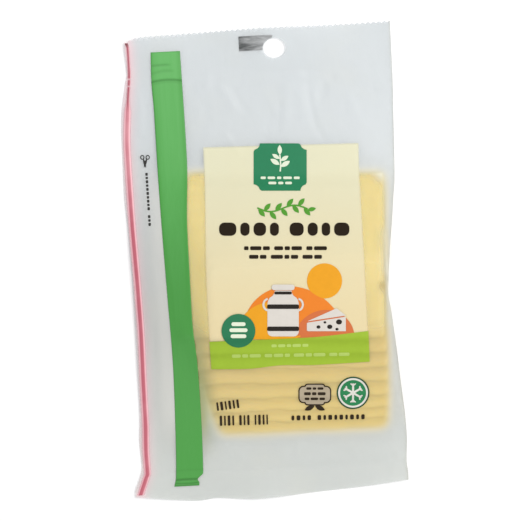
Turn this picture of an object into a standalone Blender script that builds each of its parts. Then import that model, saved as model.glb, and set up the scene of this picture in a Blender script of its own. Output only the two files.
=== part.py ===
"""Pack of sliced cheese.

A flat pouch of clear film, shut by a seal across each end, lies on its back with its front up.
Inside, eight slices overlap like roof tiles, so the film stands up in a hump over them: it climbs
from the top seal, is level where all eight slices lie over each other, and comes down in steps.
A zip strip and a thin tear strip run down its left side. Units are metres and +Z is up. The
hang hole's end points to +Y, and the origin is under the middle of the pack.
"""
import math

import bmesh
import bpy
import numpy as np
from mathutils.bvhtree import BVHTree

# Pouch, laid flat
PACK_LENGTH = 0.2364
PACK_WIDTH = 0.1398
SEAL_THICKNESS = 0.0008
TOP_SEAL_DEPTH = 0.0222
BOTTOM_SEAL_DEPTH = 0.0150

# Slices, from the front one at the top to the rearmost one at the bottom
SLICE_COUNT = 8
SLICE_WIDTH = 0.0970
SLICE_DEPTH = 0.0832
SLICE_THICKNESS = 0.0024
SHINGLE_STEP = 0.0067
SHINGLE_SLIDE = 0.0030
SLIDE_SKEW = 1.35
FRONT_SLICE_CENTRE_Y = 0.0034
STACK_CENTRE_X = 0.0114
FRONT_SLICE_TURN = -3.0
REAR_SLICE_TURN = -0.4

# Hang hole and the pinked cut of the top edge
HOLE_CENTRE = (0.0114, 0.1075)
HOLE_WIDTH = 0.0112
HOLE_HEIGHT = 0.0099
TOOTH_PITCH = 0.0027
TOOTH_DEPTH = 0.0008

# Strips on the front film
STRIP_GAP = 0.0003
ZIP_STRIP_THICKNESS = 0.0007
TEAR_STRIP_THICKNESS = 0.0006
TEAR_STRIP_WIDTH = 0.0023
TEAR_STRIP_TOP_WIDTH = 0.0012

# How far the side folds stand off the table where the stack is highest
LEFT_FOLD_LIFT = 0.0012
RIGHT_FOLD_LIFT = 0.0075
RIGHT_FOLD_WIDTH = 0.0030

# Ripples of the two sealed ends: height, wavelength, phase in waves, and how deep they run in
TOP_RIPPLE = (0.0016, 0.078, 0.22, 0.034)
BOTTOM_RIPPLE = (0.0013, 0.061, 0.57, 0.026)

# Sheet stretched over the stack: grid spacing, passes, sag on the slices, and softening passes
FILM_PITCH = 0.0010
FILM_PASSES = 2600
FILM_SAG = 0.000045
FILM_SOFTENING = 4

# Faces across the pouch (left flank, stack, right flank) and along it (from the bottom seal up)
COLUMNS = (9, 20, 4)
ROWS = (3, 5, 26, 14, 10, 4)
ZIP_STRIP_FACES = (110, 8)
TEAR_STRIP_FACES = (60, 2)
EDGE_SHARE = 0.10
FLAT = 1e-5

# Plan of the pouch's edges: how far along the side, then where the edge lies there
LEFT_EDGE = ((-0.1140, -0.0698), (-0.1060, -0.0672), (-0.1000, -0.0660), (-0.0880, -0.0666),
             (-0.0700, -0.0656), (-0.0400, -0.0654), (-0.0060, -0.0656), (0.0080, -0.0661),
             (0.0200, -0.0665), (0.0396, -0.0677), (0.0681, -0.0676), (0.0800, -0.0668),
             (0.0920, -0.0646), (0.0994, -0.0631), (0.1142, -0.0637))
RIGHT_EDGE = ((-0.1124, 0.0673), (-0.1060, 0.0669), (-0.0900, 0.0676), (-0.0820, 0.0674),
              (-0.0700, 0.0665), (-0.0580, 0.0655), (-0.0470, 0.0647), (-0.0340, 0.0635),
              (-0.0268, 0.0629), (-0.0220, 0.0622), (-0.0185, 0.0619), (-0.0100, 0.0625),
              (0.0032, 0.0638), (0.0200, 0.0659), (0.0320, 0.0673), (0.0380, 0.0681),
              (0.0560, 0.0689), (0.0740, 0.0694), (0.0920, 0.0699), (0.1180, 0.0700))
BOTTOM_EDGE = ((-0.0698, -0.1140), (-0.0470, -0.1168), (-0.0378, -0.1175), (-0.0300, -0.1167),
               (-0.0094, -0.1181), (0.0175, -0.1164), (0.0445, -0.1146), (0.0672, -0.1124))
TOP_EDGE = ((-0.0637, 0.1142), (-0.0560, 0.1164), (-0.0307, 0.1172), (0.0045, 0.1181),
            (0.0362, 0.1178), (0.0698, 0.1182))

# Plan of the strips: how far along the pack, then where their edges or middle lie there
ZIP_LEFT = ((-0.1098, -0.0502), (-0.1050, -0.0491), (-0.0861, -0.0483), (-0.0506, -0.0476),
            (-0.0105, -0.0487), (0.0191, -0.0496), (0.0492, -0.0503), (0.0793, -0.0506),
            (0.0943, -0.0511), (0.1084, -0.0507))
ZIP_RIGHT = ((-0.1098, -0.0377), (-0.1085, -0.0375), (-0.1068, -0.0383), (-0.1035, -0.0354),
             (-0.0778, -0.0349), (-0.0512, -0.0352), (-0.0255, -0.0367), (0.0190, -0.0368),
             (0.0537, -0.0353), (0.1081, -0.0360))
TEAR_MIDDLE = ((-0.1132, -0.0674), (-0.1045, -0.0640), (-0.1025, -0.0633), (-0.0918, -0.0635),
               (-0.0763, -0.0630), (-0.0608, -0.0630), (-0.0348, -0.0628), (-0.0137, -0.0632),
               (0.0294, -0.0646), (0.0600, -0.0650), (0.0844, -0.0634), (0.1000, -0.0620),
               (0.1125, -0.0625))


def smooth_curve(points, along):
    """Values at `along` of a cubic curve through (place, value) points that never swings past them.

    A point's slope is the harmonic mean of those of the stretches beside it, and level at a turn.
    """
    places, values = np.array(points).T
    runs = np.diff(values) / np.diff(places)
    before, after = np.append(runs[0], runs), np.append(runs, runs[-1])
    rising = before * after > 0
    slopes = np.where(rising, 2 * before * after / np.where(rising, before + after, 1.0), 0.0)
    span = np.clip(np.searchsorted(places, along) - 1, 0, len(places) - 2)
    width = places[span + 1] - places[span]
    t = np.clip((along - places[span]) / width, 0.0, 1.0)
    return ((2 * t**3 - 3 * t**2 + 1) * values[span] + (t**3 - 2 * t**2 + t) * width * slopes[span]
            + (3 * t**2 - 2 * t**3) * values[span + 1] + (t**3 - t**2) * width * slopes[span + 1])


def ease(value):
    """Smooth step from 0 to 1 as the value goes from 0 to 1."""
    value = np.clip(value, 0.0, 1.0)
    return value * value * (3.0 - 2.0 * value)


def slice_places():
    """Centre y and turn of each slice, front to rear; those in the middle have slid down a little."""
    share = np.arange(SLICE_COUNT) / (SLICE_COUNT - 1)
    turns = np.radians(FRONT_SLICE_TURN + (REAR_SLICE_TURN - FRONT_SLICE_TURN) * share)
    slide = SHINGLE_SLIDE * np.sin(math.pi * share**SLIDE_SKEW)
    centres = FRONT_SLICE_CENTRE_Y - SHINGLE_STEP * np.arange(SLICE_COUNT) - slide
    return list(zip(centres, turns))


def stack_height(x, y):
    """Height of the stack at points of the plan: as many slices as lie over each other there.

    The front slice bridges the ends of those under it, so the climb at the top is a smooth ramp.
    """
    steps = np.zeros(x.shape)
    for centre_y, turn in slice_places():
        across = (x - STACK_CENTRE_X) * math.cos(turn) + (y - centre_y) * math.sin(turn)
        along = (y - centre_y) * math.cos(turn) - (x - STACK_CENTRE_X) * math.sin(turn)
        inside = (np.abs(across) < SLICE_WIDTH / 2) & (np.abs(along) < SLICE_DEPTH / 2)
        steps += inside
    front_turn = math.radians(FRONT_SLICE_TURN)
    from_top = (FRONT_SLICE_CENTRE_Y + SLICE_DEPTH / 2 + (x - STACK_CENTRE_X) * math.tan(front_turn) - y)
    ramp = 1.0 + ease(from_top / ((SLICE_COUNT - 1) * SHINGLE_STEP)) * (SLICE_COUNT - 1)
    below_front = y < FRONT_SLICE_CENTRE_Y - SLICE_DEPTH / 2
    return SLICE_THICKNESS * np.where(below_front | (steps == 0), steps, np.maximum(steps, ramp))


def hump(y):
    """How full the stack is along the pack, from 0 at its two ends to 1 where all slices overlap."""
    top = FRONT_SLICE_CENTRE_Y + SLICE_DEPTH / 2
    bottom = top - SLICE_DEPTH - (SLICE_COUNT - 1) * SHINGLE_STEP
    reach = (SLICE_COUNT - 1) * SHINGLE_STEP
    return ease((top + 0.3 * reach - y) / (1.3 * reach)) * ease((y - bottom + 0.3 * reach) / (1.3 * reach))


def underside(x, y):
    """Height of the back film: flat under the stack, lifted at the side folds and rippled at the ends."""
    left = smooth_curve(LEFT_EDGE, y)
    right = smooth_curve(RIGHT_EDGE, y)
    stack_left = STACK_CENTRE_X - SLICE_WIDTH / 2
    stack_right = STACK_CENTRE_X + SLICE_WIDTH / 2 - RIGHT_FOLD_WIDTH
    toward_left = np.clip((stack_left - x) / (stack_left - left), 0.0, 1.0)
    toward_right = np.clip((x - stack_right) / (right - stack_right), 0.0, 1.0)
    folds = hump(y) * (LEFT_FOLD_LIFT * ease(toward_left) + RIGHT_FOLD_LIFT * toward_right**1.5)
    return folds + ripple(TOP_RIPPLE, x, y) + ripple(BOTTOM_RIPPLE, x, -y)


def ripple(shape, x, outward):
    """One sealed end's waves: cosine bumps across the pack that grow towards its cut edge."""
    height, wavelength, phase, depth = shape
    growth = ease((outward - (PACK_LENGTH / 2 - depth)) / depth)
    return height * growth * (0.5 - 0.5 * np.cos(2 * math.pi * (x / wavelength + phase)))


def stretch_film():
    """Front film over the plan: each point is the mean of its neighbours unless the slices hold it up.

    Over the stack the film also sags a little between the slices' edges, so that the steps show.
    """
    reach_x = PACK_WIDTH / 2 + 2 * FILM_PITCH
    reach_y = PACK_LENGTH / 2 + 2 * FILM_PITCH
    xs = np.arange(-reach_x, reach_x + FILM_PITCH / 2, FILM_PITCH)
    ys = np.arange(-reach_y, reach_y + FILM_PITCH / 2, FILM_PITCH)
    x, y = np.meshgrid(xs, ys, indexing="ij")
    rim = underside(x, y) + SEAL_THICKNESS
    stack = stack_height(x, y)
    held = np.maximum(rim, stack + SEAL_THICKNESS * (stack > 0))
    free = (x > smooth_curve(LEFT_EDGE, y)) & (x < smooth_curve(RIGHT_EDGE, y))
    free &= (y < PACK_LENGTH / 2 - TOP_SEAL_DEPTH) & (y > -PACK_LENGTH / 2 + BOTTOM_SEAL_DEPTH)
    sag = FILM_SAG * (stack > 0)
    film = np.where(free, held, rim)
    for _ in range(FILM_PASSES):
        film = np.where(free, np.maximum(neighbour_mean(film) - sag, held), rim)
    for _ in range(FILM_SOFTENING):
        film = np.where(free, neighbour_mean(film), rim)
    return xs, ys, film


def neighbour_mean(field):
    """Mean of the four neighbours at each inner point of a grid."""
    mean = field.copy()
    mean[1:-1, 1:-1] = (field[2:, 1:-1] + field[:-2, 1:-1] + field[1:-1, 2:] + field[1:-1, :-2]) / 4
    return mean


def film_height(sheet, x, y):
    """Height of the stretched film at any points, read between the points of its grid."""
    xs, ys, film = sheet
    column = np.clip((x - xs[0]) / FILM_PITCH, 0, len(xs) - 1.001)
    row = np.clip((y - ys[0]) / FILM_PITCH, 0, len(ys) - 1.001)
    i, j = column.astype(int), row.astype(int)
    a, b = column - i, row - j
    return ((1 - a) * (1 - b) * film[i, j] + a * (1 - b) * film[i + 1, j]
            + (1 - a) * b * film[i, j + 1] + a * b * film[i + 1, j + 1])


def stations(stops, counts):
    """Places along a line, evenly spaced between stops, with so many steps in each stretch."""
    runs = [np.linspace(a, b, n, endpoint=False) for a, b, n in zip(stops, stops[1:], counts)]
    return np.append(np.concatenate(runs), stops[-1])


def plan_points():
    """Plan of the pouch's grid: columns follow the side folds and the stack's sides, rows its ends."""
    half = PACK_LENGTH / 2
    stack_top = FRONT_SLICE_CENTRE_Y + SLICE_DEPTH / 2
    step_top = stack_top - SLICE_DEPTH
    step_bottom = step_top - (SLICE_COUNT - 1) * SHINGLE_STEP
    rows = stations((-half, -half + BOTTOM_SEAL_DEPTH, step_bottom - SLICE_THICKNESS,
                     step_top + SLICE_THICKNESS, stack_top, half - TOP_SEAL_DEPTH, half), ROWS)
    stack_left = np.full(rows.shape, STACK_CENTRE_X - SLICE_WIDTH / 2)
    left = smooth_curve(LEFT_EDGE, rows)
    right = smooth_curve(RIGHT_EDGE, rows)
    stack_right = np.minimum(STACK_CENTRE_X + SLICE_WIDTH / 2, right - RIGHT_FOLD_WIDTH / 2)
    x = np.array([stations(line, COLUMNS) for line in zip(left, stack_left, stack_right, right)])
    share = (rows + half) / PACK_LENGTH
    near_bottom = np.clip(1 - share / EDGE_SHARE, 0.0, 1.0)[:, None]
    near_top = np.clip(1 - (1 - share) / EDGE_SHARE, 0.0, 1.0)[:, None]
    to_bottom = smooth_curve(BOTTOM_EDGE, x) + half
    to_top = smooth_curve(TOP_EDGE, x) - half
    return x, rows[:, None] + to_bottom * near_bottom + to_top * near_top


def sheet_object(name, x, y, low, high, collection):
    """Closed solid between two height fields over a grid: a grid is shaped and extruded upwards."""
    rows, columns = x.shape
    mesh = bmesh.new()
    bmesh.ops.create_grid(mesh, x_segments=columns - 1, y_segments=rows - 1, size=0.5)
    top = mesh.verts.layers.float.new("top")
    for number, vertex in enumerate(mesh.verts):
        place = divmod(number, columns)
        vertex.co = (x[place], y[place], low[place])
        vertex[top] = high[place]
    made = bmesh.ops.extrude_face_region(mesh, geom=mesh.faces[:])
    for vertex in made["geom"]:
        if isinstance(vertex, bmesh.types.BMVert):
            vertex.co.z = vertex[top]
    bmesh.ops.recalc_face_normals(mesh, faces=mesh.faces[:])
    on_table = [face for face in mesh.faces if all(vertex.co.z < FLAT for vertex in face.verts)]
    edges = {edge for face in on_table for edge in face.edges}
    inner = [edge for edge in edges if all(face in on_table for face in edge.link_faces)]
    corners = {vertex for edge in inner for vertex in edge.verts}
    bmesh.ops.dissolve_limit(mesh, angle_limit=FLAT, verts=list(corners), edges=inner)
    data = bpy.data.meshes.new(name)
    mesh.to_mesh(data)
    mesh.free()
    thing = bpy.data.objects.new(name, data)
    collection.objects.link(thing)
    return thing


def film_material(name, colour, roughness, alpha=1.0):
    """Principled material of one plastic."""
    material = bpy.data.materials.new(name)
    material.use_nodes = True
    shader = material.node_tree.nodes["Principled BSDF"]
    shader.inputs["Base Color"].default_value = (*colour, 1.0)
    shader.inputs["Roughness"].default_value = roughness
    shader.inputs["Metallic"].default_value = 0.0
    shader.inputs["Alpha"].default_value = alpha
    return material


def make_pouch(sheet, collection):
    """The pouch with its contents as one closed solid."""
    x, y = plan_points()
    low = underside(x, y)
    low[low < FLAT] = 0.0
    high = np.maximum(film_height(sheet, x, y), low + SEAL_THICKNESS)
    pouch = sheet_object("pouch", x, y, low, high, collection)
    pouch.data.materials.append(film_material("pouch film", (0.83, 0.85, 0.84), 0.25, 0.5))
    pouch.data.shade_smooth()
    pouch.data.set_sharp_from_angle(angle=math.radians(40))
    return pouch


def make_hole_cutter(collection):
    """Punch for the hang hole."""
    mesh = bmesh.new()
    bmesh.ops.create_cone(mesh, cap_ends=True, segments=32, radius1=0.5, radius2=0.5, depth=0.02)
    bmesh.ops.scale(mesh, vec=(HOLE_WIDTH, HOLE_HEIGHT, 1.0), verts=mesh.verts)
    return cutter_object("hang hole cutter", mesh, (*HOLE_CENTRE, 0.0), collection)


def make_pinking_cutter(collection):
    """Pinking blade: a row of teeth that follows the top edge, with its back well past the edge."""
    half = PACK_WIDTH / 2 + TOOTH_PITCH
    count = 2 * math.ceil(half / (TOOTH_PITCH / 2))
    x = np.arange(count + 1) * TOOTH_PITCH / 2 - half
    tip = smooth_curve(TOP_EDGE, x)
    y = tip - TOOTH_DEPTH * (np.arange(count + 1) % 2)
    outline = [(a, b, -0.01) for a, b in zip(x, y)]
    outline += [(x[-1], PACK_LENGTH / 2 + 0.01, -0.01), (x[0], PACK_LENGTH / 2 + 0.01, -0.01)]
    mesh = bmesh.new()
    face = mesh.faces.new([mesh.verts.new(point) for point in outline])
    made = bmesh.ops.extrude_face_region(mesh, geom=[face])
    top = [item for item in made["geom"] if isinstance(item, bmesh.types.BMVert)]
    bmesh.ops.translate(mesh, verts=top, vec=(0.0, 0.0, 0.02))
    bmesh.ops.recalc_face_normals(mesh, faces=mesh.faces[:])
    return cutter_object("pinking cutter", mesh, (0.0, 0.0, 0.0), collection)


def cutter_object(name, mesh, place, collection):
    """Hidden wire object for a Boolean."""
    data = bpy.data.meshes.new(name)
    mesh.to_mesh(data)
    mesh.free()
    cutter = bpy.data.objects.new(name, data)
    cutter.location = place
    cutter.hide_render = True
    cutter.display_type = "WIRE"
    collection.objects.link(cutter)
    return cutter


def cut(thing, cutter):
    """Boolean difference kept on the object."""
    boolean = thing.modifiers.new(cutter.name, "BOOLEAN")
    boolean.operation = "DIFFERENCE"
    boolean.solver = "EXACT"
    boolean.object = cutter


def laid_on(pouch, x, y):
    """Height of the pouch's own faces under points of the plan, found by looking straight down."""
    tree = BVHTree.FromPolygons([v.co for v in pouch.data.vertices],
                                [p.vertices for p in pouch.data.polygons])
    above = 2 * SLICE_COUNT * SLICE_THICKNESS
    heights = [tree.ray_cast((a, b, above), (0.0, 0.0, -1.0))[0].z for a, b in zip(x.flat, y.flat)]
    return np.array(heights).reshape(x.shape)


def make_strip(name, pouch, left, right, rows, columns, thickness, colour, collection):
    """Flat strip laid on the front film between two lines of the plan, just clear of it."""
    share = np.linspace(0.0, 1.0, columns + 1)
    y = np.repeat(rows[:, None], columns + 1, axis=1)
    x = left[:, None] * (1 - share) + right[:, None] * share
    low = laid_on(pouch, x, y) + STRIP_GAP
    strip = sheet_object(name, x, y, low, low + thickness, collection)
    strip.data.materials.append(film_material(name, colour, 0.4))
    strip.data.shade_smooth()
    strip.data.set_sharp_from_angle(angle=math.radians(40))
    return strip


def make_zip_strip(pouch, collection):
    """Green strip that carries the press-to-close zip."""
    rows = np.linspace(ZIP_LEFT[0][0], ZIP_LEFT[-1][0], ZIP_STRIP_FACES[0] + 1)
    left = smooth_curve(ZIP_LEFT, rows)
    right = smooth_curve(ZIP_RIGHT, rows)
    make_strip("zip_strip", pouch, left, right, rows, ZIP_STRIP_FACES[1], ZIP_STRIP_THICKNESS,
               (0.13, 0.45, 0.12), collection)


def make_tear_strip(pouch, collection):
    """Thin red strip along the left fold."""
    rows = np.linspace(TEAR_MIDDLE[0][0], TEAR_MIDDLE[-1][0], TEAR_STRIP_FACES[0] + 1)
    middle = smooth_curve(TEAR_MIDDLE, rows)
    narrowing = ease((rows - rows[-1] + TOP_SEAL_DEPTH) / TOP_SEAL_DEPTH)
    half = (TEAR_STRIP_WIDTH + (TEAR_STRIP_TOP_WIDTH - TEAR_STRIP_WIDTH) * narrowing) / 2
    make_strip("tear_strip", pouch, middle - half, middle + half, rows, TEAR_STRIP_FACES[1],
               TEAR_STRIP_THICKNESS, (0.68, 0.16, 0.24), collection)


def main():
    """Clear the scene and build the pack."""
    for thing in list(bpy.data.objects):
        bpy.data.objects.remove(thing)
    parts = bpy.data.collections.new("pack of sliced cheese")
    cutters = bpy.data.collections.new("cutters")
    bpy.context.scene.collection.children.link(parts)
    bpy.context.scene.collection.children.link(cutters)
    sheet = stretch_film()
    pouch = make_pouch(sheet, parts)
    cut(pouch, make_hole_cutter(cutters))
    cut(pouch, make_pinking_cutter(cutters))
    make_zip_strip(pouch, parts)
    make_tear_strip(pouch, parts)


main()
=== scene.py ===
"""Looks for a pack of sliced cheese.

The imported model's plain pouch gives way to a shell of hazy film and eight slices that lie over each
other like roof tiles. The film is stretched over the slices as worked out here, and the zip strip,
the tear strip, the label and the print all lie on it. Lengths are metres unless a name or a heading
says millimetres, +Z is up and the hang hole's end points to +Y.
"""
import functools
import math

import bpy
import numpy as np
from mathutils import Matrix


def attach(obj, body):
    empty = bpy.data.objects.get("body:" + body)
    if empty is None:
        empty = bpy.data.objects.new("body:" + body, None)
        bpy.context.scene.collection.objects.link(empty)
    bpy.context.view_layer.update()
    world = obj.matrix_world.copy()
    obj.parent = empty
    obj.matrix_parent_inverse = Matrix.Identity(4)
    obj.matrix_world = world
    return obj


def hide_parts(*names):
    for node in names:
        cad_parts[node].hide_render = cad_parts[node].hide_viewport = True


bl_info = {
    "name": "Pack of sliced cheese",
    "version": (1, 0, 0),
    "blender": (4, 5, 0),
    "location": "View3D > Sidebar > Cheese pack",
    "description": "Film pouch with shingled cheese slices, strips, label and print",
    "category": "Add Mesh",
}

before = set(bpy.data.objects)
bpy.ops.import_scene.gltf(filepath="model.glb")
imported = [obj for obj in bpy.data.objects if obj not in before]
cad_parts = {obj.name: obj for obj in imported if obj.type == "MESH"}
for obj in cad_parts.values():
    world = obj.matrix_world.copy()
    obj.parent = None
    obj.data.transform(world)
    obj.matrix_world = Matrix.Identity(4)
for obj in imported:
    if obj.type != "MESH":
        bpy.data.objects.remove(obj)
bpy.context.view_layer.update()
MM = 0.001

# Pouch, laid flat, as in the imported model
PACK_LENGTH = 0.2364
PACK_WIDTH = 0.1398
TOP_SEAL_DEPTH = 0.0222
BOTTOM_SEAL_DEPTH = 0.0150
LEFT_FOLD_LIFT = 0.0012
RIGHT_FOLD_LIFT = 0.0075
FOLD_ROOM = 0.0004

# Slices, from the front one at the top to the rearmost one at the bottom
SLICE_COUNT = 8
SLICE_DEPTH = 0.0832
SHINGLE_STEP = 0.0067
SHINGLE_SLIDE = 0.0030
SLIDE_SKEW = 1.35
FRONT_SLICE_CENTRE_Y = 0.0034
FRONT_SLICE_TURN = -3.0
REAR_SLICE_TURN = -0.4
SLICE_CORNER = 60.0
SLICE_EDGE = 0.0024
EDGE_ROOM = 0.0005
LOWER_EDGE_WAVE = 0.0004

# Left and right sides of the slices, from the front one to the rearmost one
SLICE_LEFT = (-0.0396, -0.0391, -0.0379, -0.0358, -0.0331, -0.0304, -0.0279, -0.0260)
SLICE_RIGHT = (0.0611, 0.0615, 0.0614, 0.0611, 0.0606, 0.0599, 0.0591, 0.0585)

# Averaging passes that widen a slice's outline and that bend it over the slices below
SKIRT_PASSES = 3
BEND_PASSES = 130

# Hang hole and the pinked cut of the top edge
HOLE_CENTRE = (0.0114, 0.1075)
HOLE_WIDTH = 0.0112
HOLE_HEIGHT = 0.0099
TOOTH_PITCH = 0.0027
TOOTH_DEPTH = 0.0008

# Ripples of the two sealed ends: height, wavelength, phase in waves, and how deep they run in
TOP_RIPPLE = (0.0016, 0.078, 0.22, 0.034)
BOTTOM_RIPPLE = (0.0013, 0.061, 0.57, 0.026)

# Plan of the pouch's edges: how far along the side, then where the edge lies there
LEFT_EDGE = ((-0.1140, -0.0698), (-0.1060, -0.0672), (-0.1000, -0.0660), (-0.0880, -0.0666),
             (-0.0700, -0.0656), (-0.0400, -0.0654), (-0.0060, -0.0656), (0.0080, -0.0661),
             (0.0200, -0.0665), (0.0396, -0.0677), (0.0681, -0.0676), (0.0800, -0.0668),
             (0.0920, -0.0646), (0.0994, -0.0631), (0.1142, -0.0637))
RIGHT_EDGE = ((-0.1124, 0.0673), (-0.1060, 0.0669), (-0.0900, 0.0676), (-0.0820, 0.0674),
              (-0.0700, 0.0665), (-0.0580, 0.0655), (-0.0470, 0.0647), (-0.0340, 0.0635),
              (-0.0268, 0.0629), (-0.0220, 0.0622), (-0.0185, 0.0619), (-0.0100, 0.0625),
              (0.0032, 0.0638), (0.0200, 0.0659), (0.0320, 0.0673), (0.0380, 0.0681),
              (0.0560, 0.0689), (0.0740, 0.0694), (0.0920, 0.0699), (0.1180, 0.0700))
BOTTOM_EDGE = ((-0.0698, -0.1140), (-0.0470, -0.1168), (-0.0378, -0.1175), (-0.0300, -0.1167),
               (-0.0094, -0.1181), (0.0175, -0.1164), (0.0445, -0.1146), (0.0672, -0.1124))
TOP_EDGE = ((-0.0637, 0.1142), (-0.0560, 0.1164), (-0.0307, 0.1172), (0.0045, 0.1181),
            (0.0362, 0.1178), (0.0698, 0.1182))
EDGE_SHARE = 0.10

# Plan of the strips: how far along the pack, then where their edges or middle lie there
ZIP_LEFT = ((-0.1098, -0.0502), (-0.1050, -0.0491), (-0.0861, -0.0483), (-0.0506, -0.0476),
            (-0.0105, -0.0487), (0.0191, -0.0496), (0.0492, -0.0503), (0.0793, -0.0506),
            (0.0943, -0.0511), (0.1084, -0.0507))
ZIP_RIGHT = ((-0.1098, -0.0377), (-0.1085, -0.0375), (-0.1068, -0.0383), (-0.1035, -0.0354),
             (-0.0778, -0.0349), (-0.0512, -0.0352), (-0.0255, -0.0367), (0.0190, -0.0368),
             (0.0537, -0.0353), (0.1081, -0.0360))
TEAR_MIDDLE = ((-0.1132, -0.0674), (-0.1045, -0.0640), (-0.1025, -0.0633), (-0.0918, -0.0635),
               (-0.0763, -0.0630), (-0.0608, -0.0630), (-0.0348, -0.0628), (-0.0137, -0.0632),
               (0.0294, -0.0646), (0.0600, -0.0650), (0.0844, -0.0634), (0.1000, -0.0620),
               (0.1110, -0.0621), (0.1136, -0.0627))
TEAR_STRIP_WIDTH = 0.0037
TEAR_STRIP_TOP_WIDTH = 0.0017
TEAR_NARROWS = (0.078, 0.086)
TEAR_CORE = 0.72
TEAR_TIP_COLOUR = (0.16, 0.05, 0.05)

# Cross sections of the strips: heights, shares of the width, and places of pinches in millimetres
ZIP_THICKNESS = 0.00042
ZIP_THIN_SIDE = 0.035
ZIP_RIB_HEIGHT = 0.00003
ZIP_RIBS = (0.26, 0.74)
TEAR_BEAD_HEIGHT = 0.00045
TEAR_BAND_HEIGHT = 0.00010
TEAR_PINCHES = (95.5, 92.0, -104.4)

# Plan of the label and its lime band
LABEL_LEFT = ((-0.0535, -0.0284), (-0.0170, -0.0289), (0.0430, -0.0272), (0.0600, -0.0270))
LABEL_RIGHT = ((-0.0535, 0.0506), (0.0000, 0.0507), (0.0400, 0.0508), (0.0580, 0.0512))
LABEL_TOP = ((-0.0270, 0.0596), (0.0502, 0.0577))
LABEL_FOOT = ((-0.0284, -0.0516), (-0.0097, -0.0523), (0.0066, -0.0514), (0.0238, -0.0521),
              (0.0506, -0.0519))
LIME_TOP = ((-0.0284, -0.0378), (0.0196, -0.0382), (0.0510, -0.0365))
LABEL_SOFTNESS = 0.0009

# Widths over which painted shade fades out beside the right fold and the zip strip,
# and the tear strip's painted red glow beside it
FOLD_SHADE_WIDTH = 0.0005
VALLEY_SHADE_WIDTH = 0.0062
TEAR_GLOW_WIDTH = 0.0034

# Shaded marks at the right fold: place across and along, half sizes across and along, strength
FOLD_MARKS = ((0.0590, -0.0144, 0.0024, 0.0028, 1.05), (0.0625, 0.0025, 0.0011, 0.0095, 0.70))

# Colours of the painted shade at the right fold, beside the zip strip (also its painted green reflection)
# and in the fold marks, of the painted fill left of the stack, and of the haze along the stack's right side
FOLD_SHADE_COLOUR = (0.34, 0.33, 0.27)
VALLEY_SHADE_REFLECTION_COLOUR = (0.34, 0.36, 0.17)
FOLD_MARK_SHADE_COLOUR = (0.47, 0.355, 0.12)
LEFT_FILL_COLOUR = (0.74, 0.715, 0.665)
PALE_COLOUR = (0.72, 0.72, 0.64)

# Settling of the film: its gaps, its sag over the stack, and how far off it still seems to cling
FILM_SEAL = 0.0003
SLICE_GAP = 0.00006
FILM_GAP = 0.00022
FILM_SAG = 60.0
CLING_GAP = 0.0026

# Averaging passes that spread the stack's outline, and that bridge the hollows under a stiff strip
NEAR_PASSES = 34
STIFF_PASSES = 60

# How much of the drawn creases and of the loose wrinkles shows
CREASE_SHARE = 0.7
WRINKLE_SHARE = 0.55

# Grid of the plan on which the slices and the film are settled
PITCH = 0.0007
XS = np.arange(-PACK_WIDTH / 2 - 4 * PITCH, PACK_WIDTH / 2 + 4.5 * PITCH, PITCH)
YS = np.arange(-PACK_LENGTH / 2 - 4 * PITCH, PACK_LENGTH / 2 + 4.5 * PITCH, PITCH)
PLAN_X, PLAN_Y = np.meshgrid(XS, YS, indexing="ij")

# Thickness of what lies on the film, from its outer face up
PRINT_GAP = 0.00005
PRINT_LAYER = 0.00010
PRINT_THICKNESS = 0.00005
STRIP_GAP = 0.00008

# The print's own middle and tilt on the pack
PRINT_MIDDLE = (0.0114, 0.0059)
PRINT_TURN = -3.0

# Crushed lines across the zip strip: place, width, depth, bow and share of the width that they reach,
# the first four in millimetres
ZIP_CRUSHES = ((93.6, 0.55, 0.9, 0.7, 1.3), (92.2, 0.40, 0.25, 0.9, 1.3),
               (101.6, 0.6, 0.5, 0.2, 0.7), (97.6, 0.8, 0.3, 1.2, 0.8),
               (-106.6, 0.50, 1.0, 0.1, 1.3), (-108.3, 0.40, 0.8, -0.4, 1.3),
               (-109.4, 0.40, 0.6, -0.3, 1.3), (-102.2, 0.7, 0.15, 0.3, 1.3))

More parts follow.
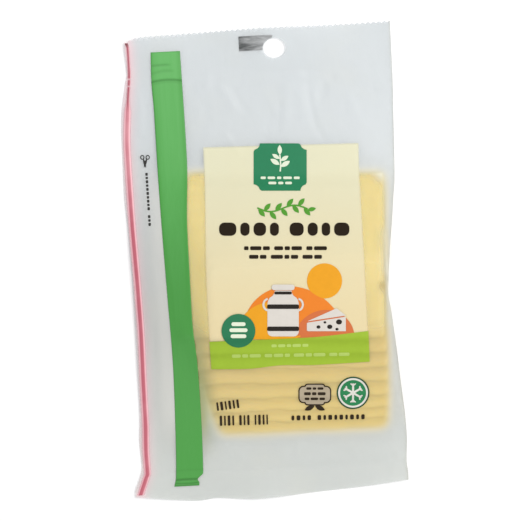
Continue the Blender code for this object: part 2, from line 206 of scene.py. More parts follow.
# Creases seen in the film, in millimetres: width, height and path
CREASES = (
    (1.3, -0.34, ((13.5, 83.5), (12.2, 74.5), (10.7, 64.0))),
    (3.2, 0.42, ((16.5, 93.0), (16.0, 80.0), (14.6, 66.0))),
    (1.5, -0.40, ((27.2, 92.0), (27.8, 78.7), (30.1, 67.0), (33.6, 61.1), (42.1, 59.7))),
    (3.4, 0.40, ((22.6, 92.0), (23.4, 78.7), (25.6, 66.0))),
    (0.9, -0.26, ((14.2, 95.6), (26.1, 95.2), (41.1, 94.3))),
    (1.1, 0.22, ((12.2, 93.5), (20.0, 93.0), (27.6, 92.4))),
    (2.6, 0.45, ((-18.7, 92.5), (-13.0, 84.3), (-6.4, 74.0))),
    (1.8, -0.34, ((-12.3, 90.3), (-8.4, 82.0), (-3.6, 73.4))),
    (1.6, -0.26, ((49.3, 82.3), (52.3, 79.0))),
    (1.6, -0.22, ((37.4, 92.0), (41.4, 89.6))),
    (2.4, -0.22, ((-26.0, 88.0), (-24.5, 76.0), (-25.5, 66.0))),
    (3.0, 0.26, ((46.0, 88.0), (50.5, 72.0), (57.0, 60.0))),
    (1.2, 0.24, ((12.9, -87.6), (12.2, -96.0), (11.8, -101.3))),
    (1.6, -0.22, ((10.2, -88.0), (9.6, -97.0), (9.4, -102.0))),
    (1.8, -0.26, ((-26.1, -106.0), (-6.8, -105.9), (27.9, -102.9))),
    (2.4, 0.20, ((-20.0, -92.0), (-13.0, -99.0), (-10.0, -105.0))),
    (2.4, 0.24, ((36.0, -88.0), (41.0, -97.0), (42.0, -104.0))),
    (1.0, -0.30, ((58.4, -10.1), (59.6, -14.1), (61.4, -16.5))),
    (1.2, 0.30, ((60.0, 84.0), (66.0, 84.6), (69.5, 84.2))),
    (2.0, 0.30, ((-59.6, 93.0), (-57.6, 79.0), (-58.6, 64.0))),
    (1.7, -0.24, ((-55.6, -15.0), (-56.6, -40.0), (-55.6, -66.0))),
)


def smooth_curve(points, along):
    """Values at `along` of a cubic curve through (place, value) points that never swings past them.

    A point's slope is the harmonic mean of those of the stretches beside it, and level at a turn.
    """
    places, values = np.array(points).T
    runs = np.diff(values) / np.diff(places)
    before, after = np.append(runs[0], runs), np.append(runs, runs[-1])
    rising = before * after > 0
    slopes = np.where(rising, 2 * before * after / np.where(rising, before + after, 1.0), 0.0)
    span = np.clip(np.searchsorted(places, along) - 1, 0, len(places) - 2)
    width = places[span + 1] - places[span]
    t = np.clip((along - places[span]) / width, 0.0, 1.0)
    return ((2 * t**3 - 3 * t**2 + 1) * values[span] + (t**3 - 2 * t**2 + t) * width * slopes[span]
            + (3 * t**2 - 2 * t**3) * values[span + 1] + (t**3 - t**2) * width * slopes[span + 1])


def ease(value):
    """Smooth step from 0 to 1 as the value goes from 0 to 1."""
    value = np.clip(value, 0.0, 1.0)
    return value * value * (3.0 - 2.0 * value)


def hump(y):
    """How full the stack is along the pack, from 0 at its two ends to 1 where all slices overlap."""
    top = FRONT_SLICE_CENTRE_Y + SLICE_DEPTH / 2
    reach = (SLICE_COUNT - 1) * SHINGLE_STEP
    bottom = top - SLICE_DEPTH - reach
    spread = 0.3 * reach
    return ease((top + spread - y) / (reach + spread)) * ease((y - bottom + spread) / (reach + spread))


def ripple(shape, x, outward):
    """One sealed end's waves: cosine bumps across the pack that grow towards its cut edge."""
    height, wavelength, phase, depth = shape
    growth = ease((outward - (PACK_LENGTH / 2 - depth)) / depth)
    return height * growth * (0.5 - 0.5 * np.cos(2 * math.pi * (x / wavelength + phase)))


def back_film(x, y):
    """Height of the back film: flat under the stack, lifted at the side folds and rippled at the ends."""
    left = smooth_curve(LEFT_EDGE, y)
    right = smooth_curve(RIGHT_EDGE, y)
    stack_left = SLICE_LEFT[0]
    stack_right = np.minimum(SLICE_RIGHT[2], right - FOLD_ROOM)
    toward_left = np.clip((stack_left - x) / (stack_left - left), 0.0, 1.0)
    toward_right = np.clip((x - stack_right) / (right - stack_right), 0.0, 1.0)
    folds = hump(y) * (LEFT_FOLD_LIFT * ease(toward_left) + RIGHT_FOLD_LIFT * toward_right**1.5)
    return folds + ripple(TOP_RIPPLE, x, y) + ripple(BOTTOM_RIPPLE, x, -y)


def cubic_weights(t):
    """Weights of the four neighbours in Catmull-Rom interpolation."""
    return (-0.5 * t + t**2 - 0.5 * t**3, 1 - 2.5 * t**2 + 1.5 * t**3,
            0.5 * t + 2 * t**2 - 1.5 * t**3, -0.5 * t**2 + 0.5 * t**3)


class Field:
    """Values on the plan's grid, read smoothly between its points."""

    def __init__(self, values):
        self.values = values

    def at(self, x, y):
        """Catmull-Rom interpolation both ways: sixteen weighted neighbours."""
        column = np.clip((x - XS[0]) / PITCH, 1.0, len(XS) - 2.001)
        row = np.clip((y - YS[0]) / PITCH, 1.0, len(YS) - 2.001)
        i, j = np.minimum(column.astype(int), len(XS) - 3), np.minimum(row.astype(int), len(YS) - 3)
        total = np.zeros(np.shape(x))
        for p, across in enumerate(cubic_weights(column - i)):
            for q, along in enumerate(cubic_weights(row - j)):
                total += across * along * self.values[i + p - 1, j + q - 1]
        return total


def neighbour_sum(field):
    """Sum of the four neighbours at each inner point of a grid, and four times itself at its rim."""
    total = 4 * field
    total[1:-1, 1:-1] = field[2:, 1:-1] + field[:-2, 1:-1] + field[1:-1, 2:] + field[1:-1, :-2]
    return total


def softened(field, passes):
    """Field after so many passes of averaging each point with its neighbours."""
    for _ in range(passes):
        field = neighbour_sum(field) / 4
    return field


def turned(points, turn):
    """Points of a plan turned about its origin by an angle in degrees."""
    angle = math.radians(turn)
    x, y = points[..., 0], points[..., 1]
    return np.stack([x * math.cos(angle) - y * math.sin(angle),
                     x * math.sin(angle) + y * math.cos(angle)], axis=-1)


def slice_shape(number):
    """Centre, half sizes and turn in degrees of one slice, counted from the front one."""
    share = number / (SLICE_COUNT - 1)
    turn = FRONT_SLICE_TURN + (REAR_SLICE_TURN - FRONT_SLICE_TURN) * share
    left, right = SLICE_LEFT[number], SLICE_RIGHT[number]
    slide = SHINGLE_SLIDE * math.sin(math.pi * share**SLIDE_SKEW)
    centre_y = FRONT_SLICE_CENTRE_Y - number * SHINGLE_STEP - slide
    return np.array(((left + right) / 2, centre_y)), np.array(((right - left) / 2, SLICE_DEPTH / 2)), turn


def slice_cover(number):
    """How much of each point's cell a slice covers, its outline a rounded rectangle made a little larger."""
    centre, half, turn = slice_shape(number)
    place = turned(np.stack([PLAN_X, PLAN_Y], axis=-1) - centre, -turn) / (half + EDGE_ROOM)
    radius = (np.abs(place)**SLICE_CORNER).sum(axis=-1)**(1 / SLICE_CORNER)
    return np.clip(0.5 + (1 - radius) * half[1] / PITCH, 0, 1)


def drape_slices(thickness):
    """Undersides of the slices and the top of the stack, laid from the rear slice to the front one.

    The rear slice lies on the flat middle of the back film. Each slice starts on what lies below it
    and is then averaged with its neighbours, but never sinks into what lies below, so it bridges the
    edges of the slices under it in a soft bend.
    """
    stack = np.full(PLAN_X.shape, SLICE_GAP)
    cover = np.zeros(PLAN_X.shape)
    undersides = [None] * SLICE_COUNT
    for number in reversed(range(SLICE_COUNT)):
        inside = slice_cover(number)
        skirted = softened(inside, SKIRT_PASSES) > 0.01
        weight = skirted.astype(float)
        neighbours = np.maximum(neighbour_sum(weight), 1.0)
        rest = stack
        for _ in range(BEND_PASSES):
            bent = neighbour_sum(rest * weight) / neighbours
            rest = np.where(skirted, np.maximum(bent, stack), stack)
        undersides[number] = Field(rest + SLICE_GAP)
        stack = stack + inside * (rest + SLICE_GAP + thickness - stack)
        cover = np.maximum(cover, inside)
    return undersides, stack, cover


def stretch_film(stack, cover):
    """Front film: each point is the mean of its neighbours unless the slices hold it up.

    It is settled on a grid of every fourth point, then of every second, then of all points, and it
    sags a little over the stack, so that the slices' edges show.
    """
    rim = back_film(PLAN_X, PLAN_Y) + FILM_SEAL
    held = np.maximum(rim, stack + FILM_GAP * cover)
    free = (PLAN_X > smooth_curve(LEFT_EDGE, PLAN_Y)) & (PLAN_X < smooth_curve(RIGHT_EDGE, PLAN_Y))
    free &= (PLAN_Y < PACK_LENGTH / 2 - TOP_SEAL_DEPTH) & (PLAN_Y > -PACK_LENGTH / 2 + BOTTOM_SEAL_DEPTH)
    film = None
    for stride, passes in ((4, 900), (2, 500), (1, 260)):
        part = (slice(None, None, stride), slice(None, None, stride))
        part_free, part_held, part_rim = free[part], held[part], rim[part]
        level = np.where(part_free, part_held, part_rim)
        if film is not None:
            grown = np.repeat(np.repeat(film, 2, axis=0), 2, axis=1)[:level.shape[0], :level.shape[1]]
            level = np.where(part_free, np.maximum(softened(grown, 2), part_held), level)
        sag = FILM_SAG * (PITCH * stride)**2 * cover[part]
        film = level
        for _ in range(passes):
            film = np.where(part_free, np.maximum(neighbour_sum(film) / 4 - sag, part_held), part_rim)
    for _ in range(3):
        film = np.where(free, softened(film, 1), rim)
    return np.maximum(film, held), free


def crease(width, height, path):
    """Height of one crease: a bell-shaped ridge or groove along a path that fades out at its ends."""
    points = np.asarray(path) * MM
    steps = np.linalg.norm(np.diff(points, axis=0), axis=1)
    nearest = np.full(PLAN_X.shape, np.inf)
    place = np.zeros(PLAN_X.shape)
    for number, (start, end) in enumerate(zip(points, points[1:])):
        run = end - start
        share = ((PLAN_X - start[0]) * run[0] + (PLAN_Y - start[1]) * run[1]) / steps[number]**2
        share = np.clip(share, 0.0, 1.0)
        gap = np.hypot(PLAN_X - start[0] - share * run[0], PLAN_Y - start[1] - share * run[1])
        closer = gap < nearest
        place = np.where(closer, (steps[:number].sum() + share * steps[number]) / steps.sum(), place)
        nearest = np.minimum(gap, nearest)
    fade = ease(place / 0.3) * ease((1 - place) / 0.3)
    return height * MM * fade * np.exp(-(nearest / (width * MM))**2)


def loose_wrinkles():
    """Many small soft creases with drawn places, long in the direction in which the film is pulled."""
    draw = np.random.default_rng(12)
    zones = (
        # count, x from, x to, y from, y to, direction in degrees, spread of it, length, height
        (26, -30, 64, 60, 100, 96, 26, 20, 0.17),
        (14, -62, -30, 56, 104, 88, 16, 22, 0.13),
        (18, -34, 62, -108, -88, 88, 30, 12, 0.16),
        (16, -64, -50, -96, 50, 90, 7, 34, 0.12),
        (12, -60, -38, -104, -60, 80, 20, 16, 0.12),
        (8, 60, 66, -90, 40, 88, 8, 22, 0.10),
    )
    total = np.zeros(PLAN_X.shape)
    for count, x0, x1, y0, y1, direction, spread, length, height in zones:
        for _ in range(count):
            middle = np.array((draw.uniform(x0, x1), draw.uniform(y0, y1)))
            turn = draw.normal(direction, spread)
            half = length * draw.uniform(0.5, 1.1) / 2
            bow = draw.normal(0, 0.08) * half
            path = middle + turned(np.array(((-half, 0.0), (0.0, bow), (half, 0.0))), turn)
            total += crease(draw.uniform(1.1, 2.8), height * draw.normal(0, 1.0), path)
    return total


@functools.lru_cache(maxsize=2)
def settled_pack(thickness):
    """The settled pack: undersides of the slices, front film, the film under a stiff strip, cling, near.

    The stiff strip bridges the film's hollows. The last two go from 0 to 1 and say how closely the
    film clings to the slices, and how near the stack is in the plan.
    """
    undersides, stack, cover = drape_slices(thickness)
    film, free = stretch_film(stack, cover)
    touching = 1 - ease((film - stack - FILM_GAP) / CLING_GAP)
    near = softened(cover, NEAR_PASSES)
    cling = softened(cover * touching * ease((near - 0.56) / 0.36), 3)
    loose = softened(free.astype(float), 6) * (1 - softened(cling, 3))
    folds = sum(crease(*shape) for shape in CREASES)
    film = film + loose * (CREASE_SHARE * folds + WRINKLE_SHARE * loose_wrinkles())
    film = np.maximum(film, np.maximum(stack + FILM_GAP * cover, back_film(PLAN_X, PLAN_Y) + FILM_SEAL))
    film = softened(film, 2)
    stiff = softened(np.maximum(film, softened(film, STIFF_PASSES)), 8)
    return undersides, Field(film), Field(stiff), Field(cling), Field(near)


def on_film(x, y, stiff=False):
    """Height of the front film's outer face at any points of the plan, or that of a stiff strip on it."""
    return settled_pack(bpy.context.scene.cheese_pack.thickness)[2 if stiff else 1].at(x, y)


def grid_mesh(islands):
    """Vertices and faces of closed thin bodies, each lying between two height fields over one grid.

    The upper sheet has a vertex at every grid point and the lower sheet one at every point inside
    the border. At the border both meet halfway. Cells switched off leave a hole with its own border.
    """
    vertices, faces, count = [], [], 0
    for x, y, low, high, cells in islands:
        rows, columns = x.shape
        kept = np.ones((rows - 1, columns - 1), bool) if cells is None else cells
        around = np.pad(kept, 1).astype(int)
        around = around[1:, 1:] + around[1:, :-1] + around[:-1, 1:] + around[:-1, :-1]
        shared = around < 4
        upper = np.arange(rows * columns).reshape(rows, columns)
        lower = np.where(shared, upper, upper + rows * columns)
        rim = np.where(shared, (low + high) / 2, high)
        both = np.stack([np.tile(x.ravel(), 2), np.tile(y.ravel(), 2),
                         np.concatenate([rim.ravel(), low.ravel()])], axis=1)
        quads = [np.stack([sheet[:-1, :-1], sheet[:-1, 1:], sheet[1:, 1:], sheet[1:, :-1]], -1)[kept]
                 for sheet in (upper, lower)]
        quads = np.concatenate([quads[0], quads[1][:, ::-1]])
        used, renumbered = np.unique(quads, return_inverse=True)
        vertices.append(both[used])
        faces.append(renumbered.reshape(-1, 4) + count)
        count += len(used)
    return np.concatenate(vertices), np.concatenate(faces)


def add_piece(name, islands, material, replaces=(), values=None):
    """Closed mesh object from islands, smooth, with extra vertex values named in a dictionary."""
    vertices, faces = grid_mesh(islands)
    mesh = bpy.data.meshes.new(name)
    mesh.vertices.add(len(vertices))
    mesh.vertices.foreach_set("co", vertices.astype(np.float32).ravel())
    mesh.loops.add(faces.size)
    mesh.loops.foreach_set("vertex_index", faces.astype(np.int32).ravel())
    mesh.polygons.add(len(faces))
    mesh.polygons.foreach_set("loop_start", np.arange(0, faces.size, 4, dtype=np.int32))
    mesh.update(calc_edges=True)
    mesh.validate()
    mesh.shade_smooth()
    mesh.set_sharp_from_angle(angle=math.radians(50))
    for key, function in (values or {}).items():
        layer = mesh.attributes.new(key, "FLOAT", "POINT")
        layer.data.foreach_set("value", function(vertices[:, 0], vertices[:, 1]).astype(np.float32))
    mesh.materials.append(material)
    piece = bpy.data.objects.new(name, mesh)
    bpy.context.scene.collection.objects.link(piece)
    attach(piece, "root")
    if replaces:
        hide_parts(*replaces)


class Value:
    """A node's output that takes part in arithmetic: each operator adds one Math node."""

    def __init__(self, finish, socket):
        self.finish = finish
        self.socket = socket

    def math(self, operation, first, second):
        """Math node on two values or numbers."""
        return self.finish.node("Math", {0: first, 1: second}, operation=operation)

    def __add__(self, other):
        return self.math("ADD", self, other)

    def __sub__(self, other):
        return self.math("SUBTRACT", self, other)

    def __rsub__(self, other):
        return self.math("SUBTRACT", other, self)

    def __mul__(self, other):
        return self.math("MULTIPLY", self, other)

    __radd__ = __add__
    __rmul__ = __mul__

    def clamped(self):
        """Value held between 0 and 1."""
        return self.finish.node("Clamp", {"Value": self})

    def between(self, start, end):
        """Smooth step from 0 at start to 1 at end."""
        return self.finish.node("MapRange", {"Value": self, "From Min": start, "From Max": end},
                                interpolation_type="SMOOTHSTEP")


class Finish:
    """A material in the making: its nodes, its shader and short ways to its usual inputs."""

    def __init__(self, name, **fixed):
        self.material = bpy.data.materials.new(name)
        self.material.use_nodes = True
        self.tree = self.material.node_tree
        self.shader = self.tree.nodes["Principled BSDF"]
        for key, value in fixed.items():
            self.shader.inputs[key.replace("_", " ").title().replace("Ior", "IOR")].default_value = value

    def node(self, kind, links=None, output=0, **settings):
        """A node of a type, its settings made first, then its sockets linked or filled."""
        made = self.tree.nodes.new("ShaderNode" + kind)
        for key, value in settings.items():
            setattr(made, key, value)
        for key, value in (links or {}).items():
            self.feed(made.inputs[key], value)
        return Value(self, made.outputs[output])

    def feed(self, socket, value):
        """A link or a plain number or colour into one socket."""
        if isinstance(value, Value):
            self.tree.links.new(value.socket, socket)
        else:
            socket.default_value = value

    def attribute(self, name):
        """A vertex value of the piece."""
        return self.node("Attribute", output="Fac", attribute_name=name)

    def place(self):
        """Object coordinates as one vector and as three numbers."""
        spot = self.node("TexCoord", output="Object")
        split = [self.node("SeparateXYZ", {"Vector": spot}, axis) for axis in "XYZ"]
        return spot, split

    def stretched(self, spot, scale, turn=0.0):
        """Coordinates scaled by three numbers and turned about Z, for a pattern with a direction."""
        return self.node("Mapping", {"Vector": spot, "Scale": scale, "Rotation": (0.0, 0.0, turn)})

    def noise(self, spot, scale, detail=2.0, roughness=0.5):
        """Fractal noise about 0.5 with so many features a metre."""
        return self.node("TexNoise", {"Vector": spot, "Scale": scale, "Detail": detail,
                                      "Roughness": roughness})

    def mixed(self, mask, first, second):
        """Colour that goes from the first to the second as the mask goes from 0 to 1."""
        return self.node("Mix", {0: mask, 6: solid(first), 7: solid(second)}, 2, data_type="RGBA")

    def bumped(self, height, distance, strength):
        """Normal bent by a height that counts in so many metres."""
        normal = self.node("Bump", {"Height": height, "Distance": distance, "Strength": strength})
        self.feed(self.shader.inputs["Normal"], normal)

    def paint(self, key, value):
        """A varying input of the shader."""
        self.feed(self.shader.inputs[key], value)

    def dulled(self, middle, *noises):
        """Roughness about a middle value, moved by noises that each come with their spread."""
        for noise, spread in noises:
            middle = middle + spread * (noise - 0.5)
        self.paint("Roughness", middle.clamped())


def solid(colour):
    """Colour of three numbers with its fourth; links pass through."""
    return colour if isinstance(colour, Value) else (*tuple(colour)[:3], 1.0)


def tinted(colour, factor):
    """Colour made lighter or darker by a factor."""
    return tuple(min(channel * factor, 1.0) for channel in tuple(colour)[:3])


def film_finish(look):
    """Clear film: a grey haze, thin where it clings to the cheese and thick where it stands off.

    Near the stack the haze takes on the cheese's colour, and it is densest over the stack's outline.
    It is also denser over the steps, left of the stack and in two places along the stack's right side.
    Painted light and shade: the haze is lighter towards the upper right and darker towards the lower
    left, lighter over the lowest steps, and denser left of the stack to hide the shade there. Painted
    shade darkens it along the right fold and in hollows beside the zip strip and at the right fold,
    beside the strip with a painted green reflection of it, and a painted red glow of the tear strip
    lies beside that strip.
    """
    finish = Finish("hazy film", roughness=0.34, ior=1.46, specular_ior_level=0.4)
    spot, (x, y, z) = finish.place()
    cling, near, fold_shaded, dip_shade, red_glow = (
        finish.attribute(name) for name in ("cling", "near", "fold_shade", "valley_shade", "tear_glow"))
    mottle = finish.noise(spot, 34.0, 3.0)
    cloud = finish.noise(finish.stretched(spot, (1.0, 0.45, 1.0)), 13.0)
    streak = finish.noise(finish.stretched(spot, (1.0, 0.12, 1.0)), 190.0)
    front = z.between(0.0008, 0.0024)
    outline = near * (1 - near) * 4
    steps = y.between(-0.029, -0.040) * front
    # Painted fill left of the stack: a denser, warm grey haze that hides the shade under the film there
    left_fill = x.between(-0.062, -0.050) * x.between(-0.036, -0.040)
    left_fill = left_fill * y.between(-0.100, -0.070) * y.between(0.060, 0.030)
    at_middle = y.between(0.018, 0.010) * y.between(-0.012, -0.006)
    at_corner = y.between(0.0345, 0.0400) * y.between(0.0428, 0.0410)
    pale = x.between(0.0545, 0.0605) * x.between(0.0630, 0.0612) * front
    pale = pale * (0.4 * at_middle + 0.6 * at_corner)

    loose = look.film_haze + 0.24 * outline + 0.12 * (cloud - 0.5) + 0.10 * (mottle - 0.5)
    thin = look.film_cling + look.film_steps * steps + 0.10 * (mottle - 0.5)
    haze = loose + cling * (thin - loose) + 0.25 * fold_shaded + 0.40 * dip_shade
    finish.paint("Alpha", (haze + 0.35 * left_fill + 0.45 * pale).clamped())

    # Painted light and shade: the haze is lighter towards the upper right and darker towards the lower left
    up = (y + 0.35 * x).between(-0.11, 0.10) + 0.5 * (cloud - 0.5)
    shade = finish.mixed(up.clamped(), look.film_low_shaded_colour, look.film_top_colour)
    shade = finish.mixed(0.5 * left_fill, shade, LEFT_FILL_COLOUR)
    # Painted red glow of the tear strip in the film, lighter than the haze
    shade = finish.mixed(0.8 * red_glow, shade, look.film_red_glow_colour)
    # Painted light: over the lowest steps, where the film slopes away from the lamps, the glow is lighter
    lit_lowest_glow = tinted(look.cheese_low_shaded_colour, 1.08)
    lit_low_glow = finish.mixed(y.between(-0.055, -0.085), look.cheese_low_shaded_colour, lit_lowest_glow)
    glow = finish.mixed(steps, look.film_glow_colour, lit_low_glow)
    glowing = near.between(0.0, 0.90) * 0.95 + 0.2 * (mottle - 0.5)
    shade = finish.mixed(glowing.clamped(), shade, glow)
    shade = finish.mixed(0.8 * pale, shade, PALE_COLOUR)
    # Painted shade in the hollows: green grey beside the zip strip, where it is also a painted reflection of
    # the strip, and mustard at the right fold
    dip_shade_colour = finish.mixed(x.between(0.0, 0.05), VALLEY_SHADE_REFLECTION_COLOUR, FOLD_MARK_SHADE_COLOUR)
    shade = finish.mixed(0.75 * dip_shade, shade, dip_shade_colour)
    # Along the right fold the haze is denser where the film turns, and darkened as painted shade
    finish.paint("Base Color", finish.mixed(0.55 * fold_shaded, shade, FOLD_SHADE_COLOUR))

    finish.dulled(0.32, (mottle, 0.14), (streak, 0.06))
    ripples = finish.noise(finish.stretched(spot, (1.0, 0.35, 1.0), 0.15), 150.0, 3.0, 0.6)
    finish.bumped(ripples + 0.25 * streak, 0.00035, 0.45)
    return finish.material


def cheese_finish(look):
    """Pale yellow cheese: faint cloudy patches, faint streaks of the slicing blade and a moist sheen."""
    finish = Finish("sliced cheese", roughness=0.42, ior=1.45, subsurface_weight=0.75,
                    subsurface_scale=0.006)
    finish.shader.inputs["Subsurface Radius"].default_value = (1.0, 0.8, 0.45)
    spot, (x, y, _) = finish.place()
    cloud = finish.noise(spot, 26.0, 3.0)
    blade = finish.noise(finish.stretched(spot, (0.06, 1.0, 1.0), 0.05), 620.0)
    grain = finish.noise(spot, 900.0, 3.0)
    # Painted light: the slices are lighter over the lowest steps, where they face away from the lamps
    foot = y.between(-0.055, -0.085)
    # Painted shade: a darker patch at the right of the slices' middle, for the shade where the front slice's
    # lower part curves down
    side = x.between(0.038, 0.052) * y.between(-0.006, -0.024) * y.between(-0.064, -0.045)
    mask = 0.5 + 0.8 * (cloud - 0.5) + 0.25 * (blade - 0.5) + 0.5 * foot - 0.7 * side
    # Painted shade: the slices darken from their upper colour to the shaded one at the lower steps
    height = y.between(-0.045, 0.035)
    low, high = look.cheese_low_shaded_colour, look.cheese_colour
    dark = finish.mixed(height, tinted(low, 0.94), tinted(high, 0.94))
    light = finish.mixed(height, tinted(low, 1.06), tinted(high, 1.05))
    finish.paint("Base Color", finish.mixed(mask.clamped(), dark, light))
    finish.dulled(0.42, (grain, 0.16))
    finish.bumped(blade + 0.6 * grain, 0.00010, 0.5)
    return finish.material


def zip_finish(look):
    """Green plastic strip, fine lengthwise draw lines; painted shade lower down and, in part, at its sides.
    """
    finish = Finish("green zip strip", roughness=0.38, ior=1.46, specular_ior_level=0.3)
    spot, (_, y, _) = finish.place()
    draw = finish.noise(finish.stretched(spot, (1.0, 0.03, 1.0)), 1100.0)
    cloud = finish.noise(spot, 30.0, 3.0)
    # Painted shade: the strip darkens lower down, and along its sides it darkens partly as its thin edges'
    # own tone and partly as painted shade; above its top crush it is a little lighter
    shade = 0.8 * y.between(-0.05, 0.08) + 0.3 * (cloud - 0.5) + 0.25 * (draw - 0.5)
    shade = shade - 0.9 * finish.attribute("rim") + 0.2 * y.between(0.0930, 0.0945)
    green = finish.mixed(shade.clamped(), look.zip_low_shaded_colour, look.zip_colour)
    # Darker along the crushed grooves: partly the crushed plastic's own tone, partly painted shade in them
    crushed = 0.55 * finish.attribute("crush")
    finish.paint("Base Color", finish.mixed(crushed, green, tinted(look.zip_low_shaded_colour, 0.35)))
    finish.dulled(0.36, (cloud, 0.16), (draw, 0.1))
    finish.bumped(draw, 0.00004, 0.35)
    return finish.material


def tear_finish(look):
    """Red plastic bead: deep red along its middle, pale and clearer at its sides, brown at its tip."""
    finish = Finish("red tear strip", roughness=0.36, ior=1.46, specular_ior_level=0.3)
    spot, (_, y, _) = finish.place()
    rim = finish.attribute("rim")
    cloud = finish.noise(spot, 90.0)
    upper = y.between(*TEAR_NARROWS)
    mask = rim.between(0.30, 0.80) + 0.4 * (cloud - 0.5) + 0.25 * y.between(0.0, 0.070) * (1 - upper)
    pinched = (y.between(0.0950, 0.0953) * y.between(0.0961, 0.0958)
               + y.between(0.0915, 0.0918) * y.between(0.0925, 0.0922))
    finish.paint("Alpha", (1 - 0.75 * rim.between(0.60, 1.0) - 0.7 * pinched).clamped())
    red = finish.mixed(upper, look.tear_colour, tinted(look.tear_colour, 0.82))
    shade = finish.mixed((mask + pinched).clamped(), red, look.tear_edge_colour)
    tip = y.between(0.1110, 0.1132) * 0.75
    finish.paint("Base Color", finish.mixed(tip, shade, TEAR_TIP_COLOUR))
    finish.dulled(0.36, (cloud, 0.12))
    finish.bumped(cloud, 0.00010, 0.4)
    return finish.material


def print_finish(name, colour, alpha=1.0):
    """Ink on film: nearly even, with the faint mottle of a printed solid."""
    finish = Finish(name, roughness=0.34, ior=1.46, specular_ior_level=0.12, alpha=alpha)
    spot, _ = finish.place()
    mottle = finish.noise(spot, 420.0, 3.0, 0.6)
    cloud = finish.noise(spot, 45.0)
    mask = 0.5 + 0.9 * (mottle - 0.5) + 0.7 * (cloud - 0.5)
    finish.paint("Base Color", finish.mixed(mask.clamped(), tinted(colour, 0.94), tinted(colour, 1.06)))
    finish.dulled(0.34, (mottle, 0.12))
    finish.bumped(mottle, 0.00004, 0.4)
    return finish.material


def label_finish(look):
    """Translucent cream panel: a cooler cream at its top that turns warmer towards its foot."""
    finish = Finish("label cream", roughness=0.36, ior=1.46, specular_ior_level=0.15)
    spot, (_, y, _) = finish.place()
    finish.paint("Alpha", look.label_cover * (0.15 + 0.85 * finish.attribute("inner")))
    cloud = finish.noise(spot, 45.0)
    grain = finish.noise(spot, 420.0, 3.0, 0.6)
    mask = y.between(-0.040, 0.055) + 0.16 * (cloud - 0.5) + 0.10 * (grain - 0.5)
    finish.paint("Base Color", finish.mixed(mask.clamped(), look.label_low_colour, look.label_colour))
    finish.dulled(0.36, (grain, 0.12))
    finish.bumped(grain, 0.00004, 0.4)
    return finish.material


def eye_mark_finish():
    """Thin grey ink with crinkled light streaks, darker at its left end."""
    finish = Finish("eye mark grey", roughness=0.36, ior=1.46, specular_ior_level=0.12)
    spot, (x, _, _) = finish.place()
    streak = finish.noise(finish.stretched(spot, (0.22, 1.0, 1.0), 0.35), 430.0, 3.0, 0.6)
    mask = 0.65 * x.between(-0.013, 0.006) + 2.4 * (streak - 0.47)
    dark, light = (0.085, 0.090, 0.090), (0.44, 0.45, 0.455)
    finish.paint("Base Color", finish.mixed(mask.clamped(), dark, light))
    finish.dulled(0.36, (streak, 0.2))
    finish.bumped(streak, 0.00006, 0.5)
    return finish.material


def floor_finish(look):
    """Plain pale studio floor with a barely visible grain."""
    finish = Finish("pale floor", roughness=0.8, specular_ior_level=0.1)
    spot, _ = finish.place()
    grain = finish.noise(spot, 60.0)
    finish.paint("Base Color", finish.mixed(grain, tinted(look.floor_colour, 0.99), look.floor_colour))
    return finish.material


def film_plan():
    """Plan of the film's grid: even columns between the side folds, even rows between the cut ends.

    The last rows follow the pinked cut, four columns to a tooth. Round the hang hole the square rings
    of the grid turn into ellipses, and back into squares further out.
    """
    half = PACK_LENGTH / 2
    teeth = round((TOP_EDGE[-1][0] - TOP_EDGE[0][0]) / TOOTH_PITCH)
    columns, rows, toothed_rows = 4 * teeth, 250, 5
    across = np.linspace(0.0, 1.0, columns + 1)[None, :]
    line = np.linspace(-half, half, rows + 1)[:, None]
    left, right = smooth_curve(LEFT_EDGE, line), smooth_curve(RIGHT_EDGE, line)
    x = left + (right - left) * across
    share = (line + half) / PACK_LENGTH
    near_bottom = np.clip(1 - share / EDGE_SHARE, 0.0, 1.0)
    near_top = np.clip(1 - (1 - share) / EDGE_SHARE, 0.0, 1.0)
    y = line + (smooth_curve(BOTTOM_EDGE, x) + half) * near_bottom
    y = y + (smooth_curve(TOP_EDGE, x) - half) * near_top
    notch = np.array((0.0, 0.5, 1.0, 0.5))[np.arange(columns + 1) % 4][None, :]
    last_rows = np.clip((np.arange(rows + 1) - rows + toothed_rows) / toothed_rows, 0.0, 1.0)[:, None]
    y = y - TOOTH_DEPTH * notch * last_rows

    to_hole = np.hypot(x - HOLE_CENTRE[0], y - HOLE_CENTRE[1])
    row, column = np.unravel_index(np.argmin(to_hole), x.shape)
    half_columns, half_rows, reach = 8, 5, 2.0
    u = (np.arange(columns + 1)[None, :] - column) / half_columns + 0 * y
    v = (np.arange(rows + 1)[:, None] - row) / half_rows + 0 * y
    ring = np.maximum(np.abs(u), np.abs(v))
    angle = np.arctan2(v, u)
    blend = ease((ring - 1) / (reach - 1))
    round_x = HOLE_CENTRE[0] + ring * HOLE_WIDTH / 2 * np.cos(angle)
    round_y = HOLE_CENTRE[1] + ring * HOLE_HEIGHT / 2 * np.sin(angle)
    x = np.where(ring < reach, round_x + (x - round_x) * blend, x)
    y = np.where(ring < reach, round_y + (y - round_y) * blend, y)
    cells = np.ones((rows, columns), bool)
    cells[row - half_rows:row + half_rows, column - half_columns:column + half_columns] = False
    return x, y, cells


def fold_shade(x, y):
    """Vertex value of painted shade: 1 on the right side fold, down to 0 beside it, wider where the stack is
    high.
    """
    return np.exp(-np.maximum(smooth_curve(RIGHT_EDGE, y) - x, 0.0) / (FOLD_SHADE_WIDTH * (1 + 1.5 * hump(y))))


